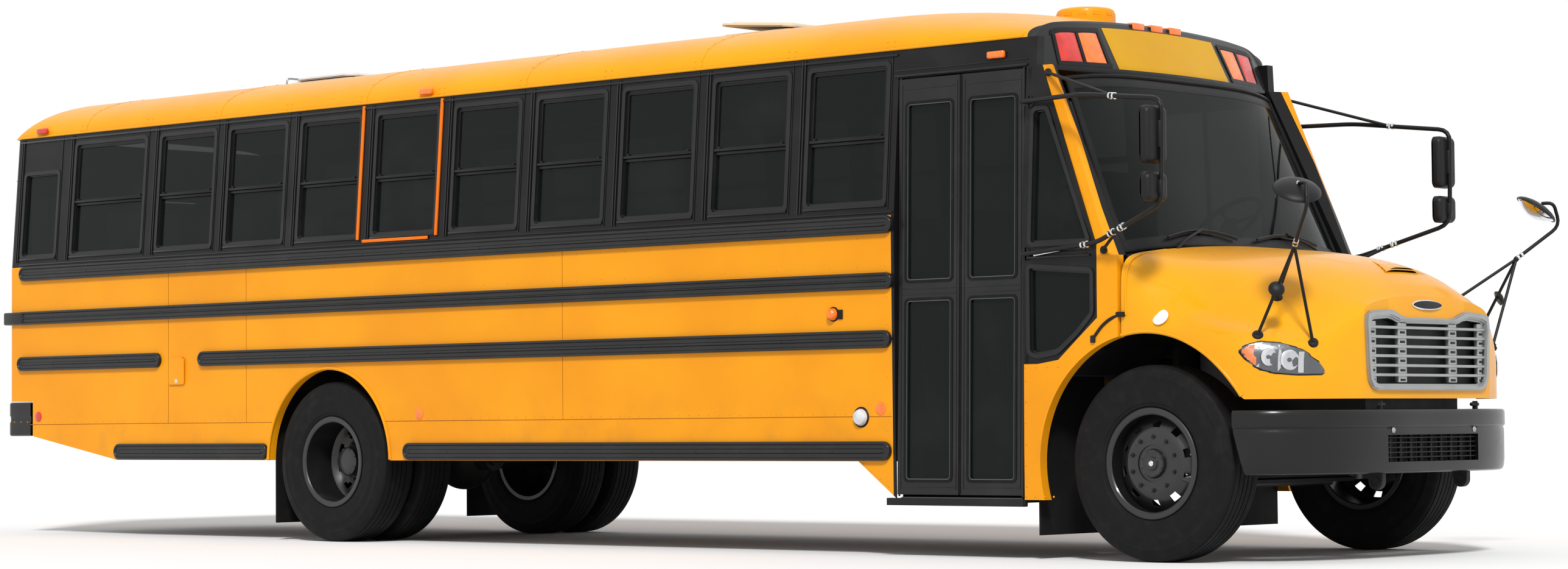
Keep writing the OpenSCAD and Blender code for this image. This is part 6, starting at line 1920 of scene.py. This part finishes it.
def pad(bm, centre, size, crown_top, crown_face, edge, cuts, place=None):
    """A stuffed pad: rounded edges, crowned faces, sides that pull in between the corners."""
    one = bmesh.new()
    bmesh.ops.create_cube(one, size=2)
    bmesh.ops.subdivide_edges(one, edges=one.edges[:], cuts=cuts, use_grid_fill=True)
    half = Vector(size) / 2
    for v in one.verts:
        p = Vector([math.copysign(1 - (1 - min(1, abs(c))) ** 1.6, c) for c in v.co])
        inner = Vector([max(-(h - edge), min(h - edge, c * h)) for c, h in zip(p, half)])
        full = Vector([c * h for c, h in zip(p, half)])
        off = full - inner
        q = inner + off.normalized() * edge if off.length > 1e-6 else full
        bx, by, bz = (1 - p.x ** 2), (1 - p.y ** 2), (1 - p.z ** 2)
        q.z += crown_top * bx * by * (1 if p.z > 0 else 0) * abs(p.z)
        q.x += crown_face * by * bz * p.x
        q.y -= 0.010 * half.y * 2 * bx * p.y * bz
        q = q / 1000
        v.co = Vector(centre) + (place @ q if place else q)
    mesh = bpy.data.meshes.new("pad")
    one.to_mesh(mesh)
    one.free()
    bm.from_mesh(mesh)
    bpy.data.meshes.remove(mesh)


def passenger_seats():
    cushions, backs, piping, legs = meshes(4)
    for s in (-1, 1):
        for i in range(11):
            x, y = -2380 - 712 * i, s * 657
            slope = Matrix.Rotation(math.atan2(75, 640), 3, "Y").transposed()
            pad(cushions, at(x + 178, y, 1471), (400, 976, 92), 6, 3, 30, 7)
            pad(backs, at(x - 46, y, 1752), (66, 968, 590), 0, 9, 28, 7, slope)
            face = [(x + 4 - 75 * (z - 1470) / 590 + 6, y + yy, z) for yy, z in
                    ((-478, 1490), (-478, 2028), (-440, 2046), (440, 2046), (478, 2028), (478, 1490))]
            rod(piping, face, 4, sides=6)
            rod(piping, [(x + 372, y - 484, 1500), (x + 372, y + 484, 1500)], 4, sides=6)
            near = abs(x + 160 + WHEELBASE) > 605 + 230
            for a in (x - 20, x + 320):
                for off in ((-s * 420, s * 300) if near else (-s * 445,)):
                    rod(legs, [(a, y + off, 1040), (a, y + off, 1424)], 12, sides=10)
                    lathe(legs, [(12, 8), (28, 6), (30, 0), (12, 0)], at(a, y + off, 1035.4), (0, 0, 1),
                          16, closed=True)
            rod(legs, [(x - 20, y - s * 420, 1418), (x + 320, y - s * 420, 1418)], 12, sides=10)
    piece("passenger_seat_cushions", cushions, vinyl, replaces=["passenger_seats"],
                    sharp=80)
    piece("passenger_seat_backs", backs, vinyl, sharp=80)
    piece("passenger_seat_piping", piping, seal_rubber)
    piece("passenger_seat_legs", legs, chassis)


def driver_seat():
    cushion, back, base = meshes(3)
    pad(cushion, at(-1262, 600, 1476), (480, 484, 108), 8, 5, 44, 9)
    lean_back = Matrix.Rotation(math.atan2(-90, 720), 3, "Y")
    pad(back, at(-1472, 600, 1900), (104, 452, 690), 0, 12, 44, 9, lean_back)
    for z0, z1, half in ((1035.4, 1070, 145), (1070, 1330, 110), (1330, 1420, 148)):
        block(base, (-1260 - half, -1260 + half), (600 - half, 600 + half), (z0, z1), 12, 3)
    for k in range(4):
        block(base, (-1385, -1135), (470, 730), (1110 + k * 52, 1136 + k * 52), 10, 3)
    piece("driver_seat_cushion", cushion, vinyl, replaces=["driver_seat"],
                    sharp=80)
    piece("driver_seat_back", back, vinyl, sharp=80)
    piece("driver_seat_base", base, plastic)


passenger_seats()
driver_seat()


def inside_details():
    ribs, rails, dials = meshes(3)
    for k in range(-6, 7):
        block(ribs, (-9900, -1760), (k * 24 - 5, k * 24 + 5), (1034.5, 1038), 1)
    rod(rails, [(-1720, -150, 1036), (-1720, -150, 1880), (-1720, -640, 1880), (-1720, -640, 1036)], 14,
        bend=60)
    rod(rails, [(-1700, 330, 1036), (-1700, 330, 2160), (-1700, 1080, 2160), (-1700, 1080, 1036)], 14,
        bend=60)
    for k, y in enumerate((520, 600, 680)):
        axis = Vector((-0.84, 0, 0.54))
        centre = at(-600, y, 1606)
        lathe(dials, [(26, -2), (31, 3), (34, 3), (35, -2)], centre, axis, 32, closed=True)
    piece("aisle_ribs", ribs, floor_grey)
    piece("grab_rails", rails, steel)
    piece("gauge_rings", dials, chrome)


inside_details()
